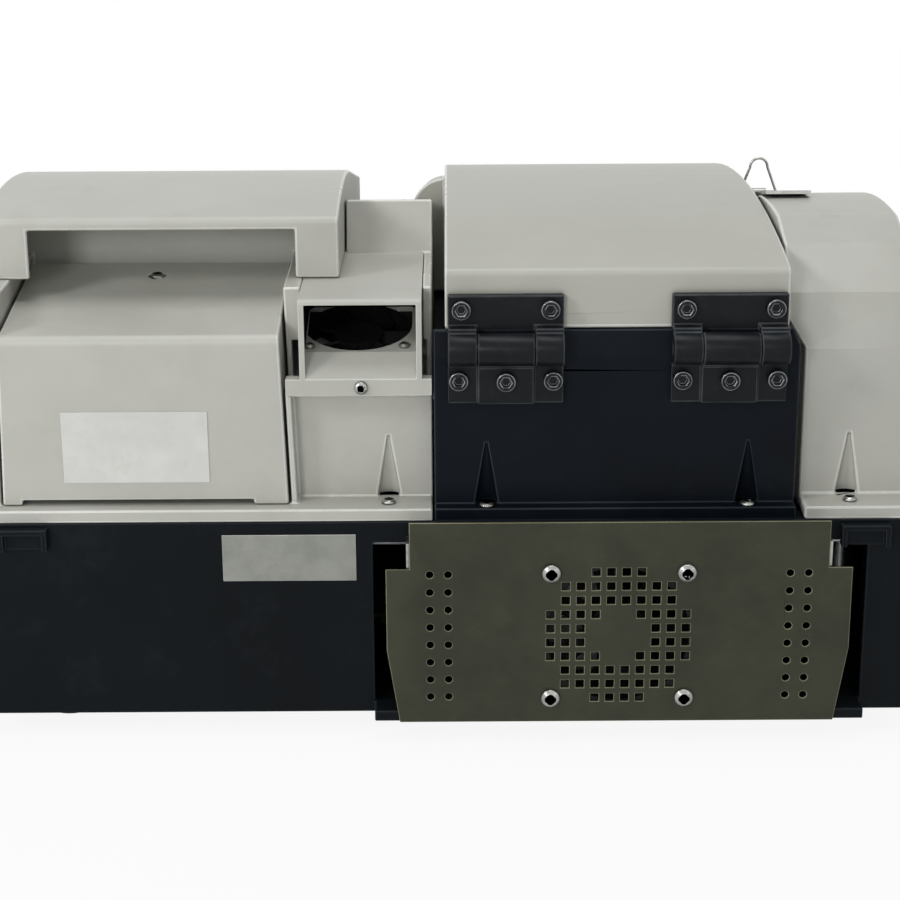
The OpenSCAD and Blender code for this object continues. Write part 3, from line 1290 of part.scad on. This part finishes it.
module filter_motor() color("#33363a") place() difference() {
    y = wheel_at[1] + wheel_t + 4;
    union() {
        rod_y(wheel_at[0], [y, y + 16], beam_z, wheel_motor_d);
        block([wheel_at[0] - 9, wheel_at[0] + 9], [y + 4, y + 12], [mono_floor, beam_z]);
    }
    rod_y(wheel_at[0], [y - cut, y + 12], beam_z, wheel_shaft_d + 2 * shaft_gap);
}

module filter_wheel() color("#1f2224") place() {
    difference() {
        rod_y(wheel_at[0], [wheel_at[1], wheel_at[1] + wheel_t], beam_z, wheel_d);
        for (i = [0:5]) translate([wheel_at[0], 0, beam_z]) rotate([0, 60 * i, 0])
            rod_y(wheel_hole_r, [wheel_at[1] - cut, wheel_at[1] + wheel_t + cut], 0, 10);
    }
    rod_y(wheel_at[0], [wheel_at[1] + wheel_t - 1, wheel_at[1] + wheel_t + 14], beam_z, wheel_shaft_d);
}

// Beam splitter and turning mirror between the monochromator and the chamber
module beam_mirrors() color("#c9d2d6") place() for (y = beam_y)
    translate([(mono_x[1] + left_x2 - cover_wall) / 2, y, 0]) {
        rod_z(0, 0, [bench_top, beam_z - 10], 10);
        rotate(45) block([-7, 7], [-1.5, 1.5], [beam_z - 11, beam_z + 10]);
    }

module detectors() color("#3a3d40") place() for (y = beam_y) {
    x = right_x0 + cover_wall;
    block([x + 8, side_x - cover_wall - 8], [y - 16, y + 16], [bench_top, beam_z + 18]);
    rod_x([x + 2, x + 9], y, beam_z, beam_hole - 2);
}

// Electronics in the base
module power_supply() color("#9a9d9f") place() translate([supply_x, supply_y, base_floor]) {
    cube([140, 190, 3]);
    block([6, 60], [20, 80], [3, 55]);
    for (i = [0:5]) block([72 + i * 10, 76 + i * 10], [20, 160], [3, 45]);
    for (i = [0:2]) rod_z(30, 105 + i * 28, [3, 38], 22);
}

module main_board() color("#2e5a3c") place() translate([board_x, board_y, 0]) {
    block([0, 178], [0, 270], [base_floor + 6, board_z]);
    for (x = [7, 171], y = [8, 262]) rod_z(x, y, [base_floor, base_floor + 6], 7);
    for (at = [[18, 40], [58, 120], [128, 70], [18, 210]]) translate([at[0], at[1], board_z])
        cube([28, 28, 4]);
    block([2, 14], [70, 150], [board_z, board_z + 10]);
}

base_tub();
feet();
foot_screws();
rear_catches();
rating_plate();
bench_pillars();
optical_bench();
bench_screws();
fan_plate();
plate_tabs();
fan_plate_screws();
cooling_fan_frame();
cooling_fan_rotor();
rear_panel();
ledge_screws();
left_housing();
upper_left_cover();
lamp_cover();
lamp_cover_screw();
blank_label();
exhaust_hood();
hood_screw();
exhaust_fan_frame();
exhaust_fan_rotor();
exhaust_fan_screws();
right_cover();
bail_plate();
wire_bail();
sample_lid();
lid_liner();
hinge_upper_leaves();
hinge_lower_leaves();
hinge_pins();
lid_hinge_screws();
panel_hinge_screws();
chamber_tub();
chamber_gasket();
chamber_windows();
cell_holders();
front_panel();
rocker_bezel();
power_rocker();
status_lens();
mains_inlet();
data_port();
lamp_bracket();
deuterium_lamp();
halogen_lamp();
source_motor();
source_mirror();
mono_box();
mono_optics();
grating_motor();
grating_table();
filter_motor();
filter_wheel();
beam_mirrors();
detectors();
power_supply();
main_board();
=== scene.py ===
import json
import math

import bpy
from mathutils import Matrix, Vector


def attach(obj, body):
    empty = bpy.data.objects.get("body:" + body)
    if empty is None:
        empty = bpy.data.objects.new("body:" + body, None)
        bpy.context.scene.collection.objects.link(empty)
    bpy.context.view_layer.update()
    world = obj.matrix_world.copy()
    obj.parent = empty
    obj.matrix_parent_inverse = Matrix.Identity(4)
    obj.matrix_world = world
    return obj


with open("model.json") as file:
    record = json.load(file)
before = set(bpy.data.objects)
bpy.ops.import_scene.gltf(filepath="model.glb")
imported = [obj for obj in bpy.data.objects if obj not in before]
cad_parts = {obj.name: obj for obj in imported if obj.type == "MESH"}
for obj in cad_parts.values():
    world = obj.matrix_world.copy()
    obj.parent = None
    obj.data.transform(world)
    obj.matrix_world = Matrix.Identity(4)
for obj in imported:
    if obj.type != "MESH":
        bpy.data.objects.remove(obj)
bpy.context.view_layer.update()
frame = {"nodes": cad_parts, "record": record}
cadNodes = frame["nodes"]
scene = bpy.context.scene
print("frame loaded:", len(cadNodes), "nodes")

# camera: behind the instrument and above it, as the photograph was taken
cameraSetup = {
    "place": (0.0033, -1.3276, 0.5012),  # metres
    "tilt": 72.0,                        # degrees up from straight down
    "roll": -0.35,                       # degrees
    "lens": 84.0,                        # mm
    "sensor": 36.0,                      # mm across the square frame
    "sight": 50.0,                       # metres
}
rearCamera = bpy.data.objects.new("rearCamera", bpy.data.cameras.new("rearCamera"))
rearCamera.data.lens = cameraSetup["lens"]
rearCamera.data.sensor_width = cameraSetup["sensor"]
rearCamera.data.sensor_fit = "HORIZONTAL"
rearCamera.data.clip_end = cameraSetup["sight"]
rearCamera.matrix_world = (Matrix.Translation(cameraSetup["place"])
                           @ Matrix.Rotation(math.radians(cameraSetup["tilt"]), 4, "X")
                           @ Matrix.Rotation(math.radians(cameraSetup["roll"]), 4, "Z"))
scene.collection.objects.link(rearCamera)
scene.camera = rearCamera
scene.view_settings.view_transform = "Standard"
print("camera set")


def linearColour(hexCode):  # sRGB hex to linear RGBA
    parts = [int(hexCode[i:i + 2], 16) / 255 for i in (1, 3, 5)]
    return [c / 12.92 if c <= 0.04045 else ((c + 0.055) / 1.055) ** 2.4 for c in parts] + [1.0]


def perMm(size):  # noise scale whose features are this many millimetres across
    return 1000.0 / size


def addNode(tree, kind, values=None, links=None, **settings):
    node = tree.nodes.new(kind)
    for name, value in settings.items():
        setattr(node, name, value)
    for socket, value in (values or {}).items():
        node.inputs[socket].default_value = value
    for socket, source in (links or {}).items():
        tree.links.new(source, node.inputs[socket])
    return node


def seenRays(tree):  # 1 for rays that show the surface, straight or by mirror or glass; 0 for its light
    rays = addNode(tree, "ShaderNodeLightPath").outputs
    seen = rays["Is Camera Ray"]
    for other in ("Is Glossy Ray", "Is Transmission Ray"):
        either = addNode(tree, "ShaderNodeMath", None, {0: seen, 1: rays[other]}, operation="MAXIMUM")
        seen = either.outputs[0]
    return seen


# the part of each pattern's range that counts, from its start to its end
noiseSpans = {"patch": (0.32, 0.68), "soil": (0.54, 0.8), "shadeOcclusion": (0.85, 0.35), "polish": (0.3, 0.7)}


def surfaceMaterial(name, look):  # a procedural surface from one dictionary of real-world values
    material = bpy.data.materials.new(name)
    material.use_nodes = True
    tree = material.node_tree
    shader = tree.nodes["Principled BSDF"]
    place = addNode(tree, "ShaderNodeTexCoord").outputs["Object"]
    grainPlace = addNode(tree, "ShaderNodeMapping",
                         {"Scale": look.get("stretch", (1, 1, 1))}, {"Vector": place})
    patches = addNode(tree, "ShaderNodeTexNoise",
                      {"Scale": perMm(look["patchMm"]), "Detail": 4.0, "Roughness": 0.6}, {"Vector": place})
    tone = addNode(tree, "ShaderNodeValToRGB", None, {"Fac": patches.outputs["Fac"]})
    for stop, position, shade in zip(tone.color_ramp.elements, noiseSpans["patch"], ("dark", "light")):
        stop.position = position
        stop.color = linearColour(look[shade])
    colour = tone.outputs["Color"]
    if "soil" in look:  # faint marks from handling and dust, in small drifts
        marks = addNode(tree, "ShaderNodeTexNoise",
                        {"Scale": perMm(look["soilMm"]), "Detail": 6.0, "Roughness": 0.7}, {"Vector": place})
        low, high = noiseSpans["soil"]
        drift = addNode(tree, "ShaderNodeMapRange",
                        {"From Min": low, "From Max": high, "To Max": look["soilShare"]},
                        {"Value": marks.outputs["Fac"]})
        colour = addNode(tree, "ShaderNodeMix", {"B": linearColour(look["soil"])},
                         {"Factor": drift.outputs["Result"], "A": colour}, data_type="RGBA").outputs["Result"]
    if "recessShadeColour" in look:  # painted shade: darker in recesses and under heads, found by ambient occlusion
        shadeOcclusion = addNode(tree, "ShaderNodeAmbientOcclusion", {"Distance": look["recessShadeMm"] / 1000}, samples=6)
        low, high = noiseSpans["shadeOcclusion"]
        recessShadeMask = addNode(tree, "ShaderNodeMapRange",
                        {"From Min": low, "From Max": high, "To Max": look["recessShadeShare"]},
                        {"Value": shadeOcclusion.outputs["AO"]})
        colour = addNode(tree, "ShaderNodeMix", {"B": linearColour(look["recessShadeColour"])},
                         {"Factor": recessShadeMask.outputs["Result"], "A": colour}, data_type="RGBA").outputs["Result"]
    tree.links.new(colour, shader.inputs["Base Color"])
    grain = addNode(tree, "ShaderNodeTexNoise",
                    {"Scale": perMm(look["grainMm"]), "Detail": look.get("grainDetail", 2.0)},
                    {"Vector": grainPlace.outputs["Vector"]})
    low, high = noiseSpans["polish"]
    smooth, dull = look["rough"]
    polish = addNode(tree, "ShaderNodeMapRange",
                     {"From Min": low, "From Max": high, "To Min": smooth, "To Max": dull},
                     {"Value": (grain if look.get("grainPolish") else patches).outputs["Fac"]})
    tree.links.new(polish.outputs["Result"], shader.inputs["Roughness"])
    relief = addNode(tree, "ShaderNodeBump", {"Strength": look["bump"], "Distance": look["bumpMm"] / 1000},
                     {"Height": grain.outputs["Fac"]})
    tree.links.new(relief.outputs["Normal"], shader.inputs["Normal"])
    for socket, value in look.get("shader", {}).items():
        shader.inputs[socket].default_value = value
    return material


# moulded ABS with a fine spark-eroded skin: soft sheen, warm light grey, a little uneven with age
coverAbs = {
    "dark": "#b9b9b1", "light": "#c4c4bd", "patchMm": 90, "soil": "#a5a597", "soilMm": 40, "soilShare": 0.35,
    # painted shade: darker in recesses and seams
    "recessShadeColour": "#74756d", "recessShadeMm": 3, "recessShadeShare": 0.5,
    "grainMm": 1.4, "bump": 0.16, "bumpMm": 0.12,  # real grain is near 0.3 mm, drawn coarser so that it shows
    "rough": (0.36, 0.5), "shader": {"IOR": 1.53},
    "edge": {"dark": "#d3d3cc", "light": "#e4e4de", "rough": (0.22, 0.34), "bump": 0.06},  # painted highlight on the rounded edges, which are also smoother
}
# the same ABS in another moulding: a touch darker, smoother from hands on it
lidAbs = {
    "dark": "#b0b0a6", "light": "#bcbcb3", "patchMm": 120, "soil": "#a8a89c", "soilMm": 55, "soilShare": 0.25,
    # painted shade: darker in recesses and seams
    "recessShadeColour": "#74756d", "recessShadeMm": 3, "recessShadeShare": 0.5,
    "grainMm": 1.4, "bump": 0.12, "bumpMm": 0.12, "rough": (0.34, 0.46), "shader": {"IOR": 1.53},
    # painted highlight on the rounded edges
    "edge": {"dark": "#d3d4ce", "light": "#e4e5e0", "rough": (0.22, 0.32), "bump": 0.06},
}
# stove enamel on sheet steel: blue-black, orange-peel skin, thin dust
baseEnamel = {
    "dark": "#0d1114", "light": "#13181c", "patchMm": 140, "soil": "#22272a", "soilMm": 25, "soilShare": 0.5,
    "grainMm": 2.6, "bump": 0.2, "bumpMm": 0.15, "rough": (0.42, 0.56),
    "shader": {"IOR": 1.5, "Specular IOR Level": 0.08},
    # painted highlight on the rounded edges
    "edge": {"dark": "#1c2024", "light": "#2c3033"},
}
# the same enamel on the rear panel, glossier: it lies under the lid
panelEnamel = {
    "dark": "#0a0e14", "light": "#10161d", "patchMm": 110, "soil": "#1c2227", "soilMm": 30, "soilShare": 0.4,
    "grainMm": 2.2, "bump": 0.16, "bumpMm": 0.12, "rough": (0.34, 0.46),
    "shader": {"IOR": 1.5, "Specular IOR Level": 0.08},
    # painted highlight on the rounded edges
    "edge": {"dark": "#20262c", "light": "#333a41"},
}
# olive chromate on zinc-plated sheet: matt drab metal, cloudy, rolled along its length
olivePassivate = {
    "dark": "#36382d", "light": "#424336", "patchMm": 35, "soil": "#4c4c3e", "soilMm": 12, "soilShare": 0.4,
    "grainMm": 1.2, "stretch": (0.08, 1, 1), "grainDetail": 4.0, "bump": 0.1, "bumpMm": 0.05,
    "grainPolish": True, "rough": (0.46, 0.62), "shader": {"Metallic": 0.2, "Specular IOR Level": 0.2},
    "edge": {"dark": "#77765f", "light": "#8f8d76"},  # painted highlight along the cut edge
}
# satin black paint on cast steel: slightly lumpy, with a painted grey highlight along its edges
hingeSatin = {
    "dark": "#0e1215", "light": "#161a1d", "patchMm": 18, "soil": "#2a2d2f", "soilMm": 7, "soilShare": 0.45,
    "grainMm": 1.6, "bump": 0.25, "bumpMm": 0.15, "rough": (0.32, 0.46),
    "shader": {"IOR": 1.5, "Specular IOR Level": 0.14},
    "edge": {"dark": "#26292c", "light": "#484b4e"},
}
# bright zinc on turned steel: clear highlights, painted shade in the recess
zincSteel = {
    "dark": "#8e8f8c", "light": "#b4b4b0", "patchMm": 5, "soil": "#767671", "soilMm": 2.5, "soilShare": 0.5,
    "recessShadeColour": "#33332e", "recessShadeMm": 1.6, "recessShadeShare": 0.85,
    "grainMm": 0.5, "bump": 0.12, "bumpMm": 0.04, "rough": (0.26, 0.4), "shader": {"Metallic": 1.0},
}
# black oxide on socket screws: dark metal with a clear sheen, a painted highlight round the head and painted
# shade in the socket
blackOxide = {
    "dark": "#1a1b1e", "light": "#26272a", "patchMm": 6, "soil": "#38393b", "soilMm": 2, "soilShare": 0.6,
    "recessShadeColour": "#050506", "recessShadeMm": 3, "recessShadeShare": 0.95,
    "grainMm": 0.6, "bump": 0.12, "bumpMm": 0.05, "rough": (0.2, 0.32), "shader": {"Metallic": 0.8},
    "edge": {"dark": "#55575a", "light": "#8b8d90"},
}
# milled aluminium: pale metal with cutter lines along one way
milledAlloy = {
    "dark": "#a4a7a9", "light": "#bcbfc0", "patchMm": 30,
    "grainMm": 1.5, "stretch": (1, 0.05, 1), "grainDetail": 3.0, "bump": 0.2, "bumpMm": 0.05,
    "grainPolish": True, "rough": (0.28, 0.45), "shader": {"Metallic": 1.0},
}
# glass-filled nylon, moulded black: dull, faintly speckled
blackNylon = {
    "dark": "#101113", "light": "#17181a", "patchMm": 14, "soil": "#2b2b27", "soilMm": 6, "soilShare": 0.5,
    "grainMm": 0.8, "bump": 0.2, "bumpMm": 0.1, "rough": (0.45, 0.62),
    "shader": {"IOR": 1.53, "Specular IOR Level": 0.12},
}
# moulded rubber: matt black with a greyish bloom
footRubber = {
    "dark": "#131313", "light": "#1d1d1c", "patchMm": 10, "soil": "#3a3935", "soilMm": 5, "soilShare": 0.5,
    "grainMm": 0.9, "bump": 0.3, "bumpMm": 0.12, "rough": (0.7, 0.85),
    "shader": {"IOR": 1.5, "Specular IOR Level": 0.2},
}
# plain white polyester film: flat, faintly fibrous, slightly yellowed
whiteFilm = {
    "dark": "#d3d4d0", "light": "#dededa", "patchMm": 22, "soil": "#c6c4b8", "soilMm": 9, "soilShare": 0.4,
    "grainMm": 0.9, "bump": 0.08, "bumpMm": 0.04, "rough": (0.36, 0.48), "shader": {"IOR": 1.57},
    # painted highlight on the rounded edges
    "edge": {"dark": "#e4e4e0", "light": "#eeeeea"},
}
# satin aluminium foil plate, brushed across: soft silver, bare
foilPlate = {
    "dark": "#878983", "light": "#979892", "patchMm": 16, "soil": "#7b7c75", "soilMm": 6, "soilShare": 0.5,
    "grainMm": 0.8, "stretch": (0.06, 1, 1), "grainDetail": 3.0, "bump": 0.12, "bumpMm": 0.04,
    "grainPolish": True, "rough": (0.4, 0.56), "shader": {"Metallic": 0.45},
    # painted highlight on the rounded edges
    "edge": {"dark": "#b5b6b4", "light": "#c6c7c5"},
}
# fused quartz: clear, barely uneven polish
fusedQuartz = {
    "dark": "#f2f6f7", "light": "#fbfdfd", "patchMm": 12, "grainMm": 6, "bump": 0.03, "bumpMm": 0.05,
    "rough": (0.02, 0.06), "shader": {"IOR": 1.46, "Transmission Weight": 1.0},
}
# front-silvered glass: bright mirror with a thin haze
silveredGlass = {
    "dark": "#dfe2e3", "light": "#eceeee", "patchMm": 8, "grainMm": 5, "bump": 0.02, "bumpMm": 0.03,
    "rough": (0.04, 0.1), "shader": {"Metallic": 1.0},
}
# black anodised aluminium: dark satin metal, fine blasted skin
blackAnodised = {
    "dark": "#1a1c1e", "light": "#242729", "patchMm": 40, "soil": "#383a3b", "soilMm": 12, "soilShare": 0.4,
    "grainMm": 0.9, "bump": 0.15, "bumpMm": 0.06, "rough": (0.4, 0.55), "shader": {"Metallic": 0.5},
    # painted highlight on the rounded edges
    "edge": {"dark": "#4a4d50", "light": "#64676a"},
}
# green solder resist on glass-epoxy board: glossy, cloudy over the copper
solderResist = {
    "dark": "#1c4a2e", "light": "#2f6b45", "patchMm": 7, "soil": "#8b8a58", "soilMm": 4, "soilShare": 0.5,
    "grainMm": 2.0, "bump": 0.2, "bumpMm": 0.08, "rough": (0.25, 0.4), "shader": {"IOR": 1.55},
}
# tinted acrylic lens: green, clear, moulded
tintedAcrylic = {
    "dark": "#69b065", "light": "#86cc80", "patchMm": 3, "grainMm": 1.2, "bump": 0.06, "bumpMm": 0.04,
    "rough": (0.08, 0.16), "shader": {"IOR": 1.49, "Transmission Weight": 0.4},
}
finishes = {  # material name: (look, the record's slot that wears it)
    "mouldedAbsCover": (coverAbs, "cover_plastic"),
    "mouldedAbsLid": (lidAbs, "lid_plastic"),
    "stoveEnamelBase": (baseEnamel, "base_paint"),
    "stoveEnamelPanel": (panelEnamel, "panel_paint"),
    "oliveChromateSheet": (olivePassivate, "plate_paint"),
    "satinBlackCasting": (hingeSatin, "hinge_paint"),
    "brightZincSteel": (zincSteel, "bright_steel"),
    "blackOxideSteel": (blackOxide, "black_screw"),
    "milledAluminium": (milledAlloy, "alloy"),
    "glassFilledNylon": (blackNylon, "dark_plastic"),
    "mouldedRubber": (footRubber, "rubber"),
    "whitePolyesterFilm": (whiteFilm, "label"),
    "brushedFoilPlate": (foilPlate, None),
    "fusedQuartz": (fusedQuartz, "quartz"),
    "silveredGlass": (silveredGlass, "mirror"),
    "blackAnodisedAluminium": (blackAnodised, "anodised"),
    "solderResistBoard": (solderResist, "board"),
    "tintedAcrylicLens": (tintedAcrylic, "lens"),
}
ownFinish = {"rating_plate": "brushedFoilPlate"}  # nodes that differ from their slot
finishOfSlot = {slotName: finishName for finishName, (look, slotName) in finishes.items()}
finishSlots = {}
for finishName, (look, slotName) in finishes.items():
    finishSlots[finishName] = [surfaceMaterial(finishName, look)]
    if "edge" in look:  # second slot: the rounded edges, painted paler than the faces as a highlight
        finishSlots[finishName].append(surfaceMaterial(finishName + "EdgeHighlight", {**look, **look["edge"]}))
for part in frame["record"]["subparts"]:
    finishName = ownFinish.get(part["node"], finishOfSlot.get(part["material_slot"]))
    data = cadNodes[part["node"]].data
    data.materials.clear()
    for material in finishSlots[finishName]:
        data.materials.append(material)
print("materials made:", len(bpy.data.materials))

# edge rounding of the real mouldings and castings, in mm: (bevel width, segments)
edgeRounding = {
    "upper_left_cover": (1.4, 3), "left_housing": (1.2, 3), "lamp_cover": (1.2, 3), "right_cover": (1.4, 3),
    "sample_lid": (1.4, 3), "exhaust_hood": (0.35, 2), "front_panel": (0.5, 2),
    "base_tub": (0.8, 2), "rear_panel": (0.8, 2), "rear_catches": (0.6, 2), "fan_plate": (0.35, 2),
    "plate_tabs": (0.3, 2), "hinge_upper_leaves": (0.8, 3), "hinge_lower_leaves": (0.8, 3),
    "rating_plate": (0.2, 2), "blank_label": (0.15, 2), "lid_hinge_screws": (0.6, 3),
    "panel_hinge_screws": (0.6, 3), "fan_plate_screws": (0.3, 2), "ledge_screws": (0.3, 2),
    "lamp_cover_screw": (0.3, 2), "hood_screw": (0.3, 2),
    "feet": (0.8, 2), "mains_inlet": (0.4, 2), "data_port": (0.3, 2), "rocker_bezel": (0.4, 2),
    "power_rocker": (0.5, 2), "chamber_tub": (0.8, 2), "cell_holders": (0.5, 2), "chamber_gasket": (0.6, 2),
    "lid_liner": (0.4, 2), "optical_bench": (0.8, 2), "mono_box": (0.8, 2), "detectors": (0.8, 2),
    "lamp_bracket": (0.4, 2),
}
meshCare = {
    "weldMm": 0.02,      # corners closer than this are one
    "flatDegrees": 0.4,  # faces within this are one flat
    "edgeDegrees": 32,   # edges sharper than this are rounded
}
for nodeName, (width, segments) in edgeRounding.items():
    part = cadNodes[nodeName]
    weld = part.modifiers.new("join split corners", "WELD")
    weld.merge_threshold = meshCare["weldMm"] / 1000
    flats = part.modifiers.new("merge flat faces", "DECIMATE")
    flats.decimate_type = "DISSOLVE"
    flats.angle_limit = math.radians(meshCare["flatDegrees"])
    rounding = part.modifiers.new("rounded edges", "BEVEL")
    rounding.width = width / 1000
    rounding.segments = segments
    rounding.limit_method = "ANGLE"
    rounding.angle_limit = math.radians(meshCare["edgeDegrees"])
    rounding.use_clamp_overlap = False
    rounding.harden_normals = True
    # the bevel faces take the last slot, which is the painted edge highlight where the look has one
    rounding.material = len(part.data.materials) - 1
print("edges rounded:", len(edgeRounding))

# a dead black lining inside the exhaust hood, round three sides behind its mouth: painted shade where the
# hood's inside lies in shadow
hoodShadeLining = {
    "left": -0.0728, "right": -0.0132, "front": -0.2535, "back": -0.2135,  # metres, just inside the walls
    "top": 0.2373, "floorFront": 0.2120, "floorBack": 0.2216, "corner": 0.005, "thick": 0.0006,
    "wallSteps": 8, "cornerTurns": (22.5, 45, 67.5, 90),  # degrees round each rear corner
    "look": {  # painted shade: dead black, fibrous, no gloss
        "dark": "#060607", "light": "#0e0e10", "patchMm": 9, "soil": "#1a1a19", "soilMm": 4, "soilShare": 0.4,
        "grainMm": 1.0, "grainDetail": 6.0, "bump": 0.5, "bumpMm": 0.3, "rough": (0.9, 1.0),
        "shader": {"IOR": 1.45, "Specular IOR Level": 0.05},
    },
}
left, right, front, back, corner = (hoodShadeLining[side] for side in ("left", "right", "front", "back", "corner"))
steps = hoodShadeLining["wallSteps"]
path = [(left, front + (back - corner - front) * i / steps) for i in range(steps + 1)]
for turn in map(math.radians, hoodShadeLining["cornerTurns"]):
    path.append((left + corner * (1 - math.cos(turn)), back - corner * (1 - math.sin(turn))))
path += [(left + right - x, y) for x, y in reversed(path)]  # the right half mirrors the left
shadeLiningPoints = []
for x, y in path:
    rise = (y - front) / (back - front)
    foot = hoodShadeLining["floorFront"] + rise * (hoodShadeLining["floorBack"] - hoodShadeLining["floorFront"])
    shadeLiningPoints += [(x, y, foot), (x, y, hoodShadeLining["top"])]
shadeLiningMesh = bpy.data.meshes.new("hoodShadeLining")
shadeLiningMesh.from_pydata(shadeLiningPoints, [], [(2 * i, 2 * i + 2, 2 * i + 3, 2 * i + 1) for i in range(len(path) - 1)])
shadeLiningMesh.polygons.foreach_set("use_smooth", [True] * len(shadeLiningMesh.polygons))
shadeLiningObject = bpy.data.objects.new("hoodShadeLining", shadeLiningMesh)
scene.collection.objects.link(shadeLiningObject)
shadeLiningMesh.materials.append(surfaceMaterial("paintedShadeBlack", hoodShadeLining["look"]))
thickness = shadeLiningObject.modifiers.new("shade lining thickness", "SOLIDIFY")
thickness.thickness = hoodShadeLining["thick"]
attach(shadeLiningObject, "chassis")
# the lining named in this print is painted shade, a black sheet where the hood lies in shadow
print("hood lined with felt")

# pale studio: floor that keeps the shadow, white all round
studio = {
    "floor": 12.0,              # metres square
    "paint": "#f2f2f0", "room": "#f4f5f6", "white": "#ffffff",
    "shadowShare": 0.1,         # how much of the shadow shows
    "shadowEnd": (0.45, 0.9),   # metres from the middle, where it fades out
    "roomLight": 0.22,
}
half = studio["floor"] / 2
floorMesh = bpy.data.meshes.new("studioFloor")
floorCorners = [(-half, -half, 0), (half, -half, 0), (half, half, 0), (-half, half, 0)]
floorMesh.from_pydata(floorCorners, [], [(0, 1, 2, 3)])
studioFloor = bpy.data.objects.new("studioFloor", floorMesh)
scene.collection.objects.link(studioFloor)
floorPaint = bpy.data.materials.new("whiteStudioPaint")  # matt white that shows a thin shadow and no tint
floorPaint.use_nodes = True
tree = floorPaint.node_tree
tree.nodes.clear()
matt = addNode(tree, "ShaderNodeBsdfDiffuse", {"Color": linearColour(studio["paint"])})
glow = addNode(tree, "ShaderNodeEmission", {"Color": linearColour(studio["white"]), "Strength": 1.0})
place = addNode(tree, "ShaderNodeTexCoord").outputs["Object"]
reach = addNode(tree, "ShaderNodeVectorMath", None, {0: place}, operation="LENGTH")
fadeStart, fadeEnd = studio["shadowEnd"]
fade = addNode(tree, "ShaderNodeMapRange",
               {"From Min": fadeStart, "From Max": fadeEnd,
                "To Min": 1 - studio["shadowShare"], "To Max": 1.0},
               {"Value": reach.outputs["Value"]})  # the shadow fades out away from the feet
share = addNode(tree, "ShaderNodeMath", None, {0: seenRays(tree), 1: fade.outputs["Result"]},
                operation="MULTIPLY")
mixed = addNode(tree, "ShaderNodeMixShader", None,
                {0: share.outputs[0], 1: matt.outputs["BSDF"], 2: glow.outputs["Emission"]})
addNode(tree, "ShaderNodeOutputMaterial", None, {"Surface": mixed.outputs["Shader"]})
floorMesh.materials.append(floorPaint)

world = bpy.data.worlds.new("studioRoom")
scene.world = world
world.use_nodes = True
tree = world.node_tree
tree.nodes.clear()
room = addNode(tree, "ShaderNodeBackground",
               {"Color": linearColour(studio["room"]), "Strength": studio["roomLight"]})
backdrop = addNode(tree, "ShaderNodeBackground", {"Color": linearColour(studio["white"]), "Strength": 1.0})
roomMix = addNode(tree, "ShaderNodeMixShader", None,
                  {0: seenRays(tree), 1: room.outputs["Background"], 2: backdrop.outputs["Background"]})
addNode(tree, "ShaderNodeOutputWorld", None, {"Surface": roomMix.outputs["Shader"]})

# lamps: key from the left behind the instrument, low lamp beside the camera, large box overhead, weak fills
lamps = {  # places and sizes in metres
    "keyLamp": {"place": (-1.35, -1.15, 1.15), "aim": (0.0, -0.2, 0.15), "size": 0.4, "watts": 8.5},
    "lowLamp": {"place": (-0.6, -1.75, 0.62), "aim": (0.0, -0.2, 0.15), "size": 0.35, "watts": 6.0},
    "topBox": {"place": (0.0, -0.2, 2.2), "aim": (0.0, -0.2, 0.15), "size": 1.0, "watts": 15.5},
    "frontFill": {"place": (0.1, -2.0, 0.95), "aim": (0.0, -0.2, 0.15), "size": 0.6, "watts": 2.2},
    "rightFill": {"place": (1.5, -1.1, 0.9), "aim": (0.05, -0.2, 0.15), "size": 0.4, "watts": 1.0},
}
for lampName, setup in lamps.items():
    lamp = bpy.data.objects.new(lampName, bpy.data.lights.new(lampName, "AREA"))
    lamp.data.shape = "SQUARE"
    lamp.data.size = setup["size"]
    lamp.data.energy = setup["watts"]
    lamp.location = setup["place"]
    lamp.rotation_euler = (Vector(setup["aim"]) - Vector(setup["place"])).to_track_quat("-Z", "Y").to_euler()
    scene.collection.objects.link(lamp)
print("studio lit:", len(lamps), "lamps")
